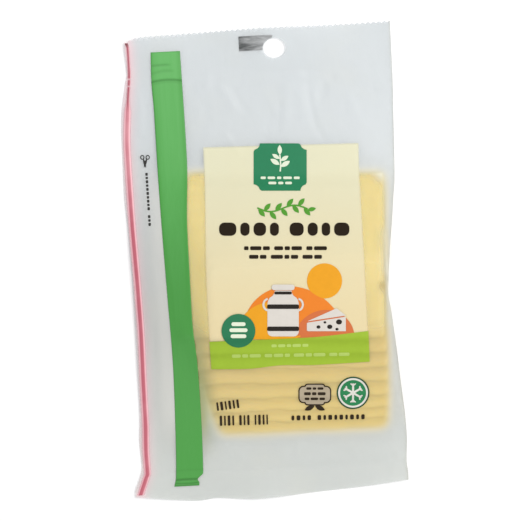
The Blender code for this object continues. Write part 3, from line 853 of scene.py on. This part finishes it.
def valley_shade(x, y):
    """Vertex value of painted shade in hollows beside the zip strip at the lower slices, and at the right
    fold.
    """
    gap = x - smooth_curve(ZIP_RIGHT, y)
    dip = np.exp(-(gap / VALLEY_SHADE_WIDTH)**2) * ease(gap / 0.003 + 1) * ease((-0.008 - y) / 0.034)
    dip = dip * (1 + 0.3 * ease((-0.048 - y) / 0.016))
    marks = sum(strength * np.exp(-((x - middle) / across)**2 - ((y - height) / along)**2)
                for middle, height, across, along, strength in FOLD_MARKS)
    return dip * ease((y + 0.100) / 0.026) + marks


def tear_glow(x, y):
    """Vertex value of the tear strip's painted red glow in the film, from 1 at the strip down to 0 beside
    it.
    """
    return np.exp(-((x - smooth_curve(TEAR_MIDDLE, y)) / TEAR_GLOW_WIDTH)**2)


def slice_island(number, thickness, underside):
    """One slice: a rounded rectangle of even thickness that follows its underside, with soft edges.

    The grid's square rings are pulled in at the corners by a superellipse. Near the edge the upper
    face comes down to the lower one along a superelliptic arc.
    """
    centre, half, turn = slice_shape(number)
    lip = np.array((0.9825, 0.989, 0.9945, 0.998, 1.0))
    places = np.concatenate([-lip[::-1], np.linspace(-0.975, 0.975, 67), lip])
    u, v = np.meshgrid(places, places)
    ring = np.maximum(np.maximum(np.abs(u), np.abs(v)), 1e-9)
    reach = np.abs(u / ring)**SLICE_CORNER + np.abs(v / ring)**SLICE_CORNER
    pull = np.maximum(reach, 1.0)**(-1 / SLICE_CORNER)
    angle = np.arctan2(v, u)
    waves = 0.0040 * np.sin(3 * angle + 1.7 * number) + 0.0028 * np.sin(7 * angle + number)
    waves = waves * np.where(u > 0, 0.4, 1.0) + 0.0014 * np.sin(17 * angle + 2 * number)
    wobble = pull * (1 + ring**6 * waves)
    frayed = np.sin(9 * u + 2.1 * number) + 0.6 * np.sin(21 * u + 1.3 * number)
    frayed = LOWER_EDGE_WAVE * np.clip(-v, 0, 1)**8 * (1 - u**8) * frayed
    plan = centre + turned(np.stack([u * half[0] * wobble, v * half[1] * wobble + frayed], axis=-1), turn)
    x, y = plan[..., 0], plan[..., 1]
    outward = np.clip(1 - (1 - ring) * half[1] / SLICE_EDGE, 0.0, 1.0)
    foot = underside.at(x, y) + 0.04 * thickness * outward**2
    return x, y, foot, foot + thickness * (1 - 0.04 * outward**2) * (1 - outward**2.2)**(1 / 2.2), None


def zip_sides(y):
    """Left and right side of the zip strip."""
    return smooth_curve(ZIP_LEFT, y), smooth_curve(ZIP_RIGHT, y)


def tear_sides(y):
    """Left and right side of the tear strip, which narrows near its top."""
    narrowing = ease((y - TEAR_NARROWS[0]) / (TEAR_NARROWS[1] - TEAR_NARROWS[0]))
    half = (TEAR_STRIP_WIDTH + (TEAR_STRIP_TOP_WIDTH - TEAR_STRIP_WIDTH) * narrowing) / 2
    middle = smooth_curve(TEAR_MIDDLE, y)
    return middle - half, middle + half


def across_strip(sides, x, y):
    """Share of a strip's width, from 0 at its left side to 1 at its right side."""
    left, right = sides(y)
    return (x - left) / (right - left)


def strip_island(sides, ends, rows, columns, section):
    """Strip on the film between two sides of the plan: a profile across it, carried along the pack.

    section(share, along) gives the height above the film at a share of the width.
    """
    line = np.linspace(*ends, rows + 1)[:, None]
    share = 0.5 - 0.5 * np.cos(np.linspace(0, math.pi, columns + 1))[None, :]
    left, right = sides(line)
    x = left * (1 - share) + right * share
    y = line + 0 * x
    low = on_film(x, y, True) + STRIP_GAP
    return x, y, low, low + section(share + 0 * x, y), None


def zip_section(share, along):
    """Zip strip's thickness: a flat band with thin sides, two faint track ribs, and crushed lines."""
    side = np.minimum(share, 1 - share)
    body = ZIP_THICKNESS * (1 - (1 - np.clip(side / ZIP_THIN_SIDE, 0, 1))**2)**0.5
    ribs = sum(ZIP_RIB_HEIGHT * np.exp(-((share - middle) / 0.050)**2) for middle in ZIP_RIBS)
    ends = ease((along - ZIP_LEFT[0][0]) / 0.0006) * ease((ZIP_LEFT[-1][0] - along) / 0.0006)
    return (body + ribs * ends) * (1 - 0.8 * zip_crush(share, along)) * (0.35 + 0.65 * ends)


def zip_crush(share, along):
    """How much the zip strip is crushed, from 0 to 1: bell-shaped grooves across it, bowed a little."""
    crush = 0.0
    for place, width, depth, bow, reach in ZIP_CRUSHES:
        line = (place + bow * np.sin(math.pi * share)) * MM
        crush = crush + depth * np.exp(-((along - line) / (width * MM))**2) * ease((reach - share) / 0.2)
    return np.clip(crush, 0, 1)


def tear_section(share, along):
    """Tear strip's thickness: a half-round bead on a thin band, with a few faint pinches."""
    side = np.abs(2 * share - 1)
    bead = TEAR_BEAD_HEIGHT * np.clip(1 - (side / TEAR_CORE)**2, 0, 1)**0.5
    band = TEAR_BAND_HEIGHT * np.clip(1 - side**8, 0, 1)
    pinch = sum(0.6 * np.exp(-((along - place * MM) / (0.6 * MM))**2) for place in TEAR_PINCHES)
    return (bead + band) * (1 - pinch)


def strip_rim(sides, power):
    """Function for the vertex value that goes from 0 in the middle of a strip to 1 at its sides."""
    def value(x, y):
        return np.clip(np.abs(2 * across_strip(sides, x, y) - 1), 0.0, 1.0)**power
    return value


def label_island(foot, top, layer, rows, columns):
    """Panel between two lines across the pack and the label's two sides."""
    up, across = np.meshgrid(np.linspace(0, 1, rows + 1), np.linspace(0, 1, columns + 1), indexing="ij")
    first_x = np.linspace(LABEL_FOOT[0][0], LABEL_FOOT[-1][0], columns + 1)[None, :]
    y = smooth_curve(foot, first_x) * (1 - up) + smooth_curve(top, first_x) * up
    x = smooth_curve(LABEL_LEFT, y) * (1 - across) + smooth_curve(LABEL_RIGHT, y) * across
    low = on_film(x, y) + PRINT_GAP + layer * PRINT_LAYER
    return x, y, low, low + PRINT_THICKNESS, None


def label_inner(x, y):
    """Vertex value from 0 at the label's sides and top up to 1 a millimetre inside them."""
    gap = np.minimum(x - smooth_curve(LABEL_LEFT, y), smooth_curve(LABEL_RIGHT, y) - x)
    return ease(np.minimum(gap, smooth_curve(LABEL_TOP, x) - y) / LABEL_SOFTNESS)


def resampled(points, count):
    """Closed outline through points, read at evenly spaced places."""
    loop = np.vstack([points, points[:1]])
    length = np.concatenate([[0.0], np.cumsum(np.linalg.norm(np.diff(loop, axis=0), axis=1))])
    places = np.linspace(0.0, length[-1], count, endpoint=False)
    return np.stack([np.interp(places, length, loop[:, axis]) for axis in (0, 1)], axis=1)


def arc(centre, radii, start, end, count=9):
    """Points along an arc of an ellipse between two angles in degrees."""
    angles = np.radians(np.linspace(start, end, count))
    return np.stack([centre[0] + radii[0] * np.cos(angles), centre[1] + radii[1] * np.sin(angles)], axis=1)


def block(width, height, radius):
    """Outline of a rectangle with rounded corners, anticlockwise from the lower right corner."""
    a, b = width / 2 - radius, height / 2 - radius
    corners = ((a, -b, -90), (a, b, 0), (-a, b, 90), (-a, -b, 180))
    return np.concatenate([arc((x, y), (radius, radius), turn, turn + 90) for x, y, turn in corners])


def disc(width, height=None):
    """Outline of a circle or ellipse, anticlockwise from its lower right."""
    return arc((0, 0), (width / 2, (height or width) / 2), -45, 307.5, 48)


def leaf(length, width):
    """Outline of a leaf: two arcs that meet in points at its ends."""
    t = np.linspace(-1, 1, 24)
    belly = width / 2 * (1 - t**2)
    return np.concatenate([np.stack([t, -belly], 1), np.stack([-t, belly], 1)[1:-1]]) * (length / 2, 1)


def dome(width, height, lean):
    """Outline of a leaning hill: half an ellipse on a flat foot, its middle a third of the way up."""
    hill = arc((0, 0), (width / 2, height), 0, 180, 40)
    hill[:, 0] += lean * hill[:, 1] / height * width / 2
    return hill - (0, height / 3)


def drawn(outline, place, layer, cells, turn=0.0):
    """Island of one printed shape: an outline filled by square rings that shrink to its middle.

    The outline is in millimetres about its middle and is put at a place of the print's own frame.
    """
    steps = np.linspace(-1, 1, cells + 1)
    u, v = np.meshgrid(steps, steps)
    ring = np.maximum(np.abs(u), np.abs(v))
    a, b = u / np.maximum(ring, 1e-9), v / np.maximum(ring, 1e-9)
    sides = (a > 0.999999, b > 0.999999, a < -0.999999)
    walk = np.select(sides, ((b + 1) / 8, 0.25 + (1 - a) / 8, 0.5 + (1 - b) / 8), 0.75 + (a + 1) / 8)
    edge = resampled(np.asarray(outline, float), 8 * cells)
    spot = np.rint(walk * len(edge)).astype(int) % len(edge)
    return printed(edge[spot] * ring[..., None], place, layer, turn)


def ribbon(path, width, place, layer=2):
    """Island of a drawn line: a path in millimetres with its width laid off to both sides."""
    path = np.asarray(path, float)
    run = np.gradient(path, axis=0)
    side = turned(run / np.linalg.norm(run, axis=1, keepdims=True), 90)
    across = np.linspace(-0.5, 0.5, 4)[:, None, None] * width
    return printed(path + side * across, place, layer)


def printed(shape, place, layer, turn=0.0):
    """Island from points of the print's own frame in millimetres, turned, placed and laid on the film."""
    plan = turned(turned(shape, turn) + place, PRINT_TURN) * MM + PRINT_MIDDLE
    x, y = plan[..., 0], plan[..., 1]
    low = on_film(x, y) + PRINT_GAP + layer * PRINT_LAYER
    return x, y, low, low + PRINT_THICKNESS, None


def toward(turn):
    """Unit vector at an angle in degrees."""
    return turned(np.array((1.0, 0.0)), turn)


def dashes(widths, gap, height, place, turn=0.0, layer=2, radius=0.5):
    """Row of rounded blocks of given widths in millimetres, centred on a place.

    A negative width is a space.
    """
    start = -(sum(abs(width) for width in widths) + gap * (len(widths) - 1)) / 2
    islands = []
    for width in widths:
        if width > 0:
            spot = place + toward(turn) * (start + width / 2)
            corner = min(radius, width / 2.02, height / 2.02)
            islands.append(drawn(block(width, height, corner), spot, layer, 6, turn))
        start += abs(width) + gap
    return islands


def plaque_shapes():
    """Dark green plaque with nicked corners, and its pale sprig, dots and dashes."""
    middle = np.array((-2.4, 41.6))
    half_width, half_height, nick = 13.3, 11.9, 3.2
    corners = ((1, -1, 180), (1, 1, 270), (-1, 1, 360), (-1, -1, 90))
    outline = np.concatenate([arc((side * half_width, end * half_height), (nick, nick), start, start - 90)
                              for side, end, start in corners])
    stem = ((0, -3.8), (0.3, -1.0), (0.1, 2.0), (-0.2, 4.6))
    pale = [ribbon(stem, 0.7, middle + (0, 1.6), 3)]
    for up, side, size in ((-1.6, 1, 5.4), (-0.6, -1, 5.4), (1.4, 1, 4.6), (2.4, -1, 4.4)):
        spot = middle + (side * size * 0.48, 1.6 + up + size * 0.30)
        pale.append(drawn(leaf(size, size * 0.44), spot, 3, 8, 90 - side * 58))
    pale.append(drawn(leaf(5.0, 2.2), middle + (-0.2, 8.6), 3, 8, 92))
    pale += dashes((2.6, 3.8, 2.2, 4.4, 3.0), 0.9, 1.3, middle - (0, 5.4), layer=3)
    pale += dashes((4.0, 2.6, 3.4), 0.9, 1.3, middle - (0, 8.0), layer=3)
    return [drawn(outline, middle, 2, 16)], pale


def garland_shapes():
    """Green wavy stem with small leaves to both sides."""
    def stem(share):
        return np.stack([12.6 * share, 1.6 * np.sin(3.3 * share)], axis=-1)

    middle = np.array((-1.25, 20.8))
    shapes = [ribbon(stem(np.linspace(-1, 1, 40)), 0.8, middle)]
    for number, share in enumerate(np.linspace(-0.9, 0.9, 9)):
        side = 1 if number % 2 else -1
        shapes.append(drawn(leaf(5.0, 2.3), middle + stem(share) + (0.9, side * 1.9), 2, 8, side * 50))
    shapes.append(drawn(leaf(4.4, 2.1), middle + (14.6, -0.4), 2, 8, 12))
    return shapes


def row_shapes():
    """Dark rows that stand where the pack's wording is: one bold, two fine."""
    shapes = dashes((8.6, 4.6, 6.2, 4.4, -1.4, 7.0, 5.0, 4.2, 7.6), 2.0, 6.6, (-0.4, 10.4), radius=2.6)
    shapes += dashes((2.2, 5.6, 3.4, -0.6, 4.4, 2.6, 5.2, -0.6, 3.0, 6.4), 0.8, 1.9, (0.2, 0.9))
    shapes += dashes((4.6, 3.2, -0.6, 6.0, 2.4, 3.6, -0.6, 5.0, 3.8), 0.8, 1.9, (0.2, -3.4))
    return shapes


def band_shapes():
    """Pale rows on the lime band."""
    shapes = dashes((2.6, 3.6, 2.2, 4.2, 3.0), 0.7, 1.5, (2.4, -47.6), 1, 5)
    shapes += dashes((4.4, 3.0, 5.6, -0.5, 3.8, 4.8, 2.6, -0.5, 5.2, 3.2, 6.0, -0.5, 4.0, 5.4), 0.7, 1.7,
                     (2.8, -52.4), 1, 5)
    return shapes


def foot_shapes():
    """Dark rows on the film over the lower steps."""
    shapes = dashes((0.9, 1.3, 0.8, 1.2, 0.9, 1.1), 1.0, 4.4, (-28.6, -77.6), 8, radius=0.4)
    shapes += dashes((1.2, 0.8, 1.3, 0.9, -0.6, 1.2, 0.8, 1.1, -0.6, 0.8, 1.2, 0.9, 0.7), 1.0, 5.2,
                     (-20.6, -85.2), 1.5, radius=0.4)
    shapes += dashes((1.4, 1.9, 1.3, 1.7, -1.0, 1.8, 1.3, 1.9, 1.4, 1.8, 1.2, 1.9, 1.4, 1.7), 1.15, 2.5,
                     (21.6, -83.8), 1.0, radius=0.6)
    return shapes


def badge_shapes():
    """Plain badge: dark outline, ribbon tails and bars, and its grey-brown field."""
    middle = np.array((14.9, -72.2))
    dark = [drawn(block(16.4, 8.8, 2.4), middle, 2, 12), drawn(block(10.6, 11.0, 1.6), middle, 2, 12)]
    field = [drawn(block(15.2, 7.6, 2.0), middle, 3, 12), drawn(block(9.4, 9.8, 1.2), middle, 3, 12)]
    for side in (-1, 1):
        dark.append(drawn(leaf(5.4, 2.4), middle + (side * 2.6, -6.8), 2, 6, side * -24))
    rows = (((2.6, 1.8, 3.0), 1.2, 3.0), ((3.4, 2.2, 4.0), 1.5, 0.4), ((2.4, 3.8, 2.8), 1.3, -2.2))
    for widths, height, up in rows:
        dark += dashes(widths, 0.6, height, middle + (0, up), layer=4)
    return dark, field


def frost_shapes():
    """Ringed circle with a plain six-armed snowflake, the usual sign for chilled goods."""
    middle = np.array((34.0, -71.4))
    white = [drawn(disc(14.9), middle, 3, 16)]
    white += [drawn(block(9.8, 1.0, 0.4), middle, 5, 8, turn) for turn in (30, 90, 150)]
    for turn in range(30, 390, 60):
        for lean in (-52, 52):
            spot = middle + 3.7 * toward(turn) + 0.75 * toward(turn + lean)
            white.append(drawn(block(1.9, 0.7, 0.3), spot, 6, 6, turn + lean))
    return [drawn(disc(16.4), middle, 2, 16)], white, [drawn(disc(13.0), middle, 4, 16)]


def slice_mark_shapes():
    """Dark green disc with three stacked pale bars."""
    middle = np.array((-23.2, -40.2))
    pale = [drawn(block(width, 1.9, 0.8), middle + (0, up), 7, 8)
            for width, up in ((7.0, 3.3), (9.0, 0.3), (7.8, -2.7))]
    return [drawn(disc(16.8), middle, 6, 16)], pale


def churn_outline():
    """Outline of a milk churn's body: a round foot, straight sides, a shoulder and a neck."""
    side = np.concatenate([arc((5.4, -9.8), (2.4, 2.4), -90, 0), arc((4.8, 3.4), (3.0, 4.6), 0, 52),
                           arc((7.6, 10.6), (3.4, 3.6), 232, 180)])
    return np.concatenate([side, side[::-1] * (-1, 1)])


def picture_shapes():
    """Generic dairy picture: hills and a low sun, a milk churn with dark bands and a wedge of cheese."""
    amber = [drawn(disc(17.5), (19.6, -15.4), 2, 16), drawn(dome(33, 18.5, 0.1), (-9.0, -38.3), 3, 16)]
    orange = [drawn(dome(52, 26.5, -0.12), (5.0, -35.7), 2, 20)]
    deep = [drawn(dome(30, 14.5, 0.05), (19.5, -39.5), 3, 16)]
    churn = np.array((-1.0, -30.8))
    white = [drawn(churn_outline(), churn, 5, 20), drawn(block(11.4, 2.8, 1.2), churn + (0, 12.2), 6, 10)]
    turns = np.radians(np.linspace(-80, 80, 18))
    for side in (-1, 1):
        handle = np.stack([side * (7.2 + 2.6 * np.cos(turns)), 2.9 * np.sin(turns)], axis=1)
        white.append(ribbon(handle[::side], 1.0, churn + (0, 3.6), 6))
    black = [drawn(block(width, height, 0.5), churn + (0, up), 7, 12)
             for width, height, up in ((15.8, 2.2, 2.6), (15.8, 2.2, -8.4), (8.6, 1.4, 9.4))]
    wedge = np.array((20.4, -35.4))
    body = np.array(((9.8, -5.0), (9.8, 2.2), (-9.6, -0.8), (-9.6, -5.0)))
    lid = np.array(((9.8, 2.8), (5.2, 6.4), (-9.4, -0.1)))
    white += [drawn(body, wedge, 5, 14), drawn(lid - lid.mean(0), wedge + lid.mean(0), 5, 12)]
    holes = ((6.4, -0.4, 3.0), (1.8, -2.8, 2.6), (-3.8, -2.9, 2.0), (5.4, -4.0, 1.6), (-0.6, -0.6, 1.4))
    black += [drawn(disc(size, size * 0.84), wedge + (x, y), 6, 8) for x, y, size in holes]
    return amber, orange, deep, white, black


def side_shapes():
    """Small scissors and a row of fine dashes beside the tear strip."""
    middle = np.array((-70.2, 44.6))
    turns = np.radians(np.linspace(0, 360, 22))
    grip = np.stack([0.85 * np.cos(turns), 0.95 * np.sin(turns)], axis=1)
    shapes = []
    for side in (-1, 1):
        shapes.append(ribbon(grip, 0.52, middle + (side * 1.35, 1.9), 0))
        shapes.append(drawn(leaf(5.2, 1.1), middle - (side * 0.25, 0.9), 0, 6, 90 + side * 17))
    lengths = (1.5, 1.2, 1.6, 1.2, 1.5, 1.6, 1.3, 1.5, 1.2, 1.6, -1.4, 1.5, 1.3, 1.6)
    return shapes + dashes(lengths, 0.52, 1.25, (-68.6, 25.4), -86.3, 0, 0.4)


def eye_mark_island():
    """Dark registration mark on the header, bitten by the hang hole."""
    corners = np.array(((-8.5, -3.6), (8.5, 3.6)))
    (x0, x1), (y0, y1), *_ = printed(corners, (-14.7, 103.9), 0, 3.6)
    bite = 1.06
    up, across = np.meshgrid(np.linspace(0, 1, 25), np.linspace(0, 1, 30), indexing="ij")
    y = y0 + (y1 - y0) * up
    rise = np.clip((y - HOLE_CENTRE[1]) / (HOLE_HEIGHT / 2 * bite), -1, 1)
    hole_side = HOLE_CENTRE[0] - HOLE_WIDTH / 2 * bite * np.sqrt(1 - rise**2)
    x = x0 + (np.minimum(x1, hole_side) - x0) * across
    low = on_film(x, y) + PRINT_GAP
    return x, y, low, low + PRINT_THICKNESS, None


def colour_setting(name, description, default):
    """Colour property of the settings."""
    return bpy.props.FloatVectorProperty(name=name, description=description, default=default,
                                         min=0.0, max=1.0, subtype="COLOR")


def share_setting(name, description, default):
    """Property of the settings that goes from 0 to 1."""
    return bpy.props.FloatProperty(name=name, description=description, default=default,
                                   min=0.0, max=1.0, subtype="FACTOR")


class PackLook(bpy.types.PropertyGroup):
    """Sizes and colours of the pack that a user would change."""

    thickness: bpy.props.FloatProperty(
        name="Slice thickness", description="Thickness of one slice", default=0.0024,
        min=0.0010, max=0.0040, subtype="DISTANCE", unit="LENGTH")
    film_haze: share_setting(
        "Loose film haze", "How much the film hides where it stands off", 0.46)
    film_cling: share_setting(
        "Clinging film haze", "How much the film hides where it touches", 0.14)
    film_steps: share_setting(
        "Extra haze on the steps", "How much more the film hides over the shingled steps", 0.36)
    label_cover: share_setting(
        "Label cover", "How much the label's panel hides", 0.72)
    # The film's haze goes from the upper end's colour to the darker lower end's one as painted light and
    # shade, with a cooler tint at the upper end
    film_top_colour: colour_setting(
        "Film, upper end", "Colour of the film's haze at the hang hole's end", (0.715, 0.755, 0.775))
    film_low_shaded_colour: colour_setting(
        "Film, lower end", "Colour of the film's haze at the far end", (0.68, 0.705, 0.675))
    film_glow_colour: colour_setting(
        "Film near the cheese", "Colour of the film's haze beside and over the slices", (0.86, 0.76, 0.43))
    # Colour of the tear strip's painted red glow in the film
    film_red_glow_colour: colour_setting(
        "Film near the tear strip", "Colour of the film's haze beside the tear strip", (1.0, 0.72, 0.76))
    # The slices go from this colour down to the darker one at the steps, as painted shade
    cheese_colour: colour_setting(
        "Cheese", "Colour of the slices towards the hang hole", (0.86, 0.665, 0.285))
    cheese_low_shaded_colour: colour_setting(
        "Cheese, lower end", "Colour of the slices at the steps", (0.80, 0.625, 0.255))
    # The strip goes from this colour to the darker lower one, as painted shade
    zip_colour: colour_setting(
        "Zip strip", "Colour of the wide strip at its upper end", (0.121, 0.425, 0.114))
    zip_low_shaded_colour: colour_setting(
        "Zip strip, lower end", "Colour of the wide strip further down", (0.072, 0.320, 0.061))
    tear_colour: colour_setting(
        "Tear strip", "Colour of the tear strip's middle", (0.51, 0.130, 0.170))
    tear_edge_colour: colour_setting(
        "Tear strip sides", "Colour of the tear strip's thin sides", (0.95, 0.56, 0.61))
    label_colour: colour_setting(
        "Label", "Colour of the label's panel at its top", (0.86, 0.835, 0.61))
    label_low_colour: colour_setting(
        "Label, lower end", "Colour of the label's panel at its foot", (0.885, 0.755, 0.455))
    lime_colour: colour_setting(
        "Lime band", "Colour of the band at the label's foot", (0.335, 0.495, 0.040))
    floor_colour: colour_setting(
        "Floor", "Colour of the studio floor", (0.98, 0.98, 0.98))


class CHEESE_OT_slices(bpy.types.Operator):
    """Add the eight shingled slices"""

    bl_idname = "cheese.slices"
    bl_label = "Slices"

    def execute(self, context):
        look = context.scene.cheese_pack
        undersides = settled_pack(look.thickness)[0]
        material = cheese_finish(look)
        for number, underside in enumerate(undersides):
            island = slice_island(number, look.thickness, underside)
            add_piece(f"slice_{number + 1}", [island], material)
        return {"FINISHED"}


class CHEESE_OT_film(bpy.types.Operator):
    """Add the film pouch with its hang hole and pinked edge"""

    bl_idname = "cheese.film"
    bl_label = "Film pouch"

    def execute(self, context):
        look = context.scene.cheese_pack
        _, front, _, cling, near = settled_pack(look.thickness)
        x, y, cells = film_plan()
        low = back_film(x, y)
        high = np.maximum(front.at(x, y), low + FILM_SEAL / 2)
        add_piece("film_pouch", [(x, y, low, high, cells)], film_finish(look), ("pouch",),
                  {"cling": cling.at, "near": near.at, "fold_shade": fold_shade, "valley_shade": valley_shade, "tear_glow": tear_glow})
        return {"FINISHED"}


class CHEESE_OT_strips(bpy.types.Operator):
    """Add the green zip strip and the red tear strip"""

    bl_idname = "cheese.strips"
    bl_label = "Strips"

    def execute(self, context):
        look = context.scene.cheese_pack

        def crush(x, y):
            return zip_crush(across_strip(zip_sides, x, y), y)

        band = strip_island(zip_sides, (ZIP_LEFT[0][0], ZIP_LEFT[-1][0]), 720, 32, zip_section)
        add_piece("zip_strip_band", [band], zip_finish(look), ("zip_strip",),
                  {"rim": strip_rim(zip_sides, 5), "crush": crush})
        bead = strip_island(tear_sides, (TEAR_MIDDLE[0][0], TEAR_MIDDLE[-1][0]), 420, 12, tear_section)
        add_piece("tear_strip_bead", [bead], tear_finish(look), ("tear_strip",),
                  {"rim": strip_rim(tear_sides, 1)})
        return {"FINISHED"}


class CHEESE_OT_label(bpy.types.Operator):
    """Add the translucent label panel and its lime band"""

    bl_idname = "cheese.label"
    bl_label = "Label"

    def execute(self, context):
        look = context.scene.cheese_pack
        panel = label_island(LIME_TOP, LABEL_TOP, 0, 150, 110)
        add_piece("label_panel", [panel], label_finish(look), (), {"inner": label_inner})
        lime = print_finish("label lime", look.lime_colour, 0.93)
        add_piece("label_lime_band", [label_island(LABEL_FOOT, LIME_TOP, 4, 24, 110)], lime)
        return {"FINISHED"}


class CHEESE_OT_print(bpy.types.Operator):
    """Add the generic printed shapes on the label and the film"""

    bl_idname = "cheese.print"
    bl_label = "Print"

    def execute(self, context):
        plaque, sprig = plaque_shapes()
        badge_dark, badge_field = badge_shapes()
        frost_dark, frost_white, frost_green = frost_shapes()
        mark, bars = slice_mark_shapes()
        amber, orange, deep, white, black = picture_shapes()
        inks = (
            ("plaque_green", plaque, (0.024, 0.205, 0.092)),
            ("mark_green", mark, (0.026, 0.180, 0.082)),
            ("sprig_pale", sprig + bars, (0.72, 0.78, 0.62)),
            ("garland_green", garland_shapes(), (0.085, 0.30, 0.035)),
            ("rows_dark", row_shapes(), (0.020, 0.013, 0.007)),
            ("foot_rows_dark", foot_shapes() + badge_dark, (0.030, 0.020, 0.011)),
            ("badge_field", badge_field, (0.42, 0.35, 0.25)),
            ("frost_ring_dark", frost_dark, (0.018, 0.070, 0.035)),
            ("frost_green", frost_green, (0.028, 0.210, 0.080)),
            ("frost_white", frost_white, (0.70, 0.68, 0.62)),
            ("picture_amber", amber, (0.76, 0.33, 0.015)),
            ("picture_orange", orange, (0.76, 0.21, 0.022)),
            ("picture_deep_orange", deep, (0.60, 0.155, 0.050)),
            ("picture_white", white, (0.64, 0.60, 0.55)),
            ("picture_black", black, (0.018, 0.014, 0.011)),
            ("band_rows_pale", band_shapes(), (0.45, 0.60, 0.14)),
            ("side_marks_dark", side_shapes(), (0.045, 0.045, 0.042)),
        )
        for name, islands, colour in inks:
            add_piece(name, islands, print_finish(name.replace("_", " "), colour))
        add_piece("eye_mark_grey", [eye_mark_island()], eye_mark_finish())
        return {"FINISHED"}


class CHEESE_OT_stage(bpy.types.Operator):
    """Add the floor, the lights and the camera"""

    bl_idname = "cheese.stage"
    bl_label = "Stage"

    def execute(self, context):
        look = context.scene.cheese_pack
        bpy.ops.mesh.primitive_plane_add(size=8.0, location=(0.0, 0.0, -0.0003))
        floor = context.object
        floor.name = "studio_floor"
        floor.data.materials.append(floor_finish(look))
        add_camera(context)
        add_light("key_light", (0.45, 0.20, 0.98), 0.8, 8.6, (1.0, 0.985, 0.965))
        add_light("fill_light", (-0.9, -1.0, 1.5), 1.6, 7.0, (0.97, 0.98, 1.0))
        world = bpy.data.worlds.new("soft studio")
        world.use_nodes = True
        world.node_tree.nodes["Background"].inputs["Color"].default_value = (0.97, 0.985, 1.0, 1.0)
        world.node_tree.nodes["Background"].inputs["Strength"].default_value = 0.52
        context.scene.world = world
        context.scene.view_settings.view_transform = "Standard"
        return {"FINISHED"}


def add_camera(context):
    """Camera that looks straight down with the pack turned three degrees in its frame.

    The width that it sees at half the pack's height is the photograph's 521 pixels of half a millimetre.
    """
    lens, sensor = 300.0, 36.0
    seen = 521 * 0.0005
    data = bpy.data.cameras.new("camera")
    data.lens = lens
    data.sensor_width = sensor
    data.clip_end = 20.0
    camera = bpy.data.objects.new("camera", data)
    camera.location = (-0.00111, 0.00131, seen * lens / sensor + 0.009)
    camera.rotation_euler = (0.0, 0.0, math.radians(-3.0))
    context.scene.collection.objects.link(camera)
    context.scene.camera = camera


def add_light(name, place, size, power, colour):
    """Square soft light aimed at the pack."""
    data = bpy.data.lights.new(name, "AREA")
    data.size = size
    data.energy = power
    data.color = colour
    light = bpy.data.objects.new(name, data)
    light.location = place
    across = math.hypot(place[0], place[1])
    light.rotation_euler = (math.atan2(across, place[2]), 0.0, math.atan2(place[1], place[0]) + math.pi / 2)
    bpy.context.scene.collection.objects.link(light)


class CHEESE_PT_pack(bpy.types.Panel):
    """Panel that lists the pack's settings and its steps"""

    bl_label = "Cheese pack"
    bl_idname = "CHEESE_PT_pack"
    bl_space_type = "VIEW_3D"
    bl_region_type = "UI"
    bl_category = "Cheese pack"

    def draw(self, context):
        look = context.scene.cheese_pack
        for key in look.bl_rna.properties.keys():
            if key not in {"rna_type", "name"}:
                self.layout.prop(look, key)
        for step in STEPS:
            self.layout.operator(step.bl_idname)


STEPS = (CHEESE_OT_stage, CHEESE_OT_film, CHEESE_OT_slices, CHEESE_OT_strips, CHEESE_OT_label,
         CHEESE_OT_print)
CLASSES = (PackLook, *STEPS, CHEESE_PT_pack)


def register():
    """Add the classes and the scene's settings."""
    for item in CLASSES:
        bpy.utils.register_class(item)
    bpy.types.Scene.cheese_pack = bpy.props.PointerProperty(type=PackLook)


def unregister():
    """Remove the scene's settings and the classes."""
    del bpy.types.Scene.cheese_pack
    for item in reversed(CLASSES):
        bpy.utils.unregister_class(item)


def main():
    """Build every piece."""
    register()
    bpy.ops.cheese.stage()
    bpy.ops.cheese.film()
    bpy.ops.cheese.slices()
    bpy.ops.cheese.strips()
    bpy.ops.cheese.label()
    bpy.ops.cheese.print()


if __name__ == "__main__":
    main()
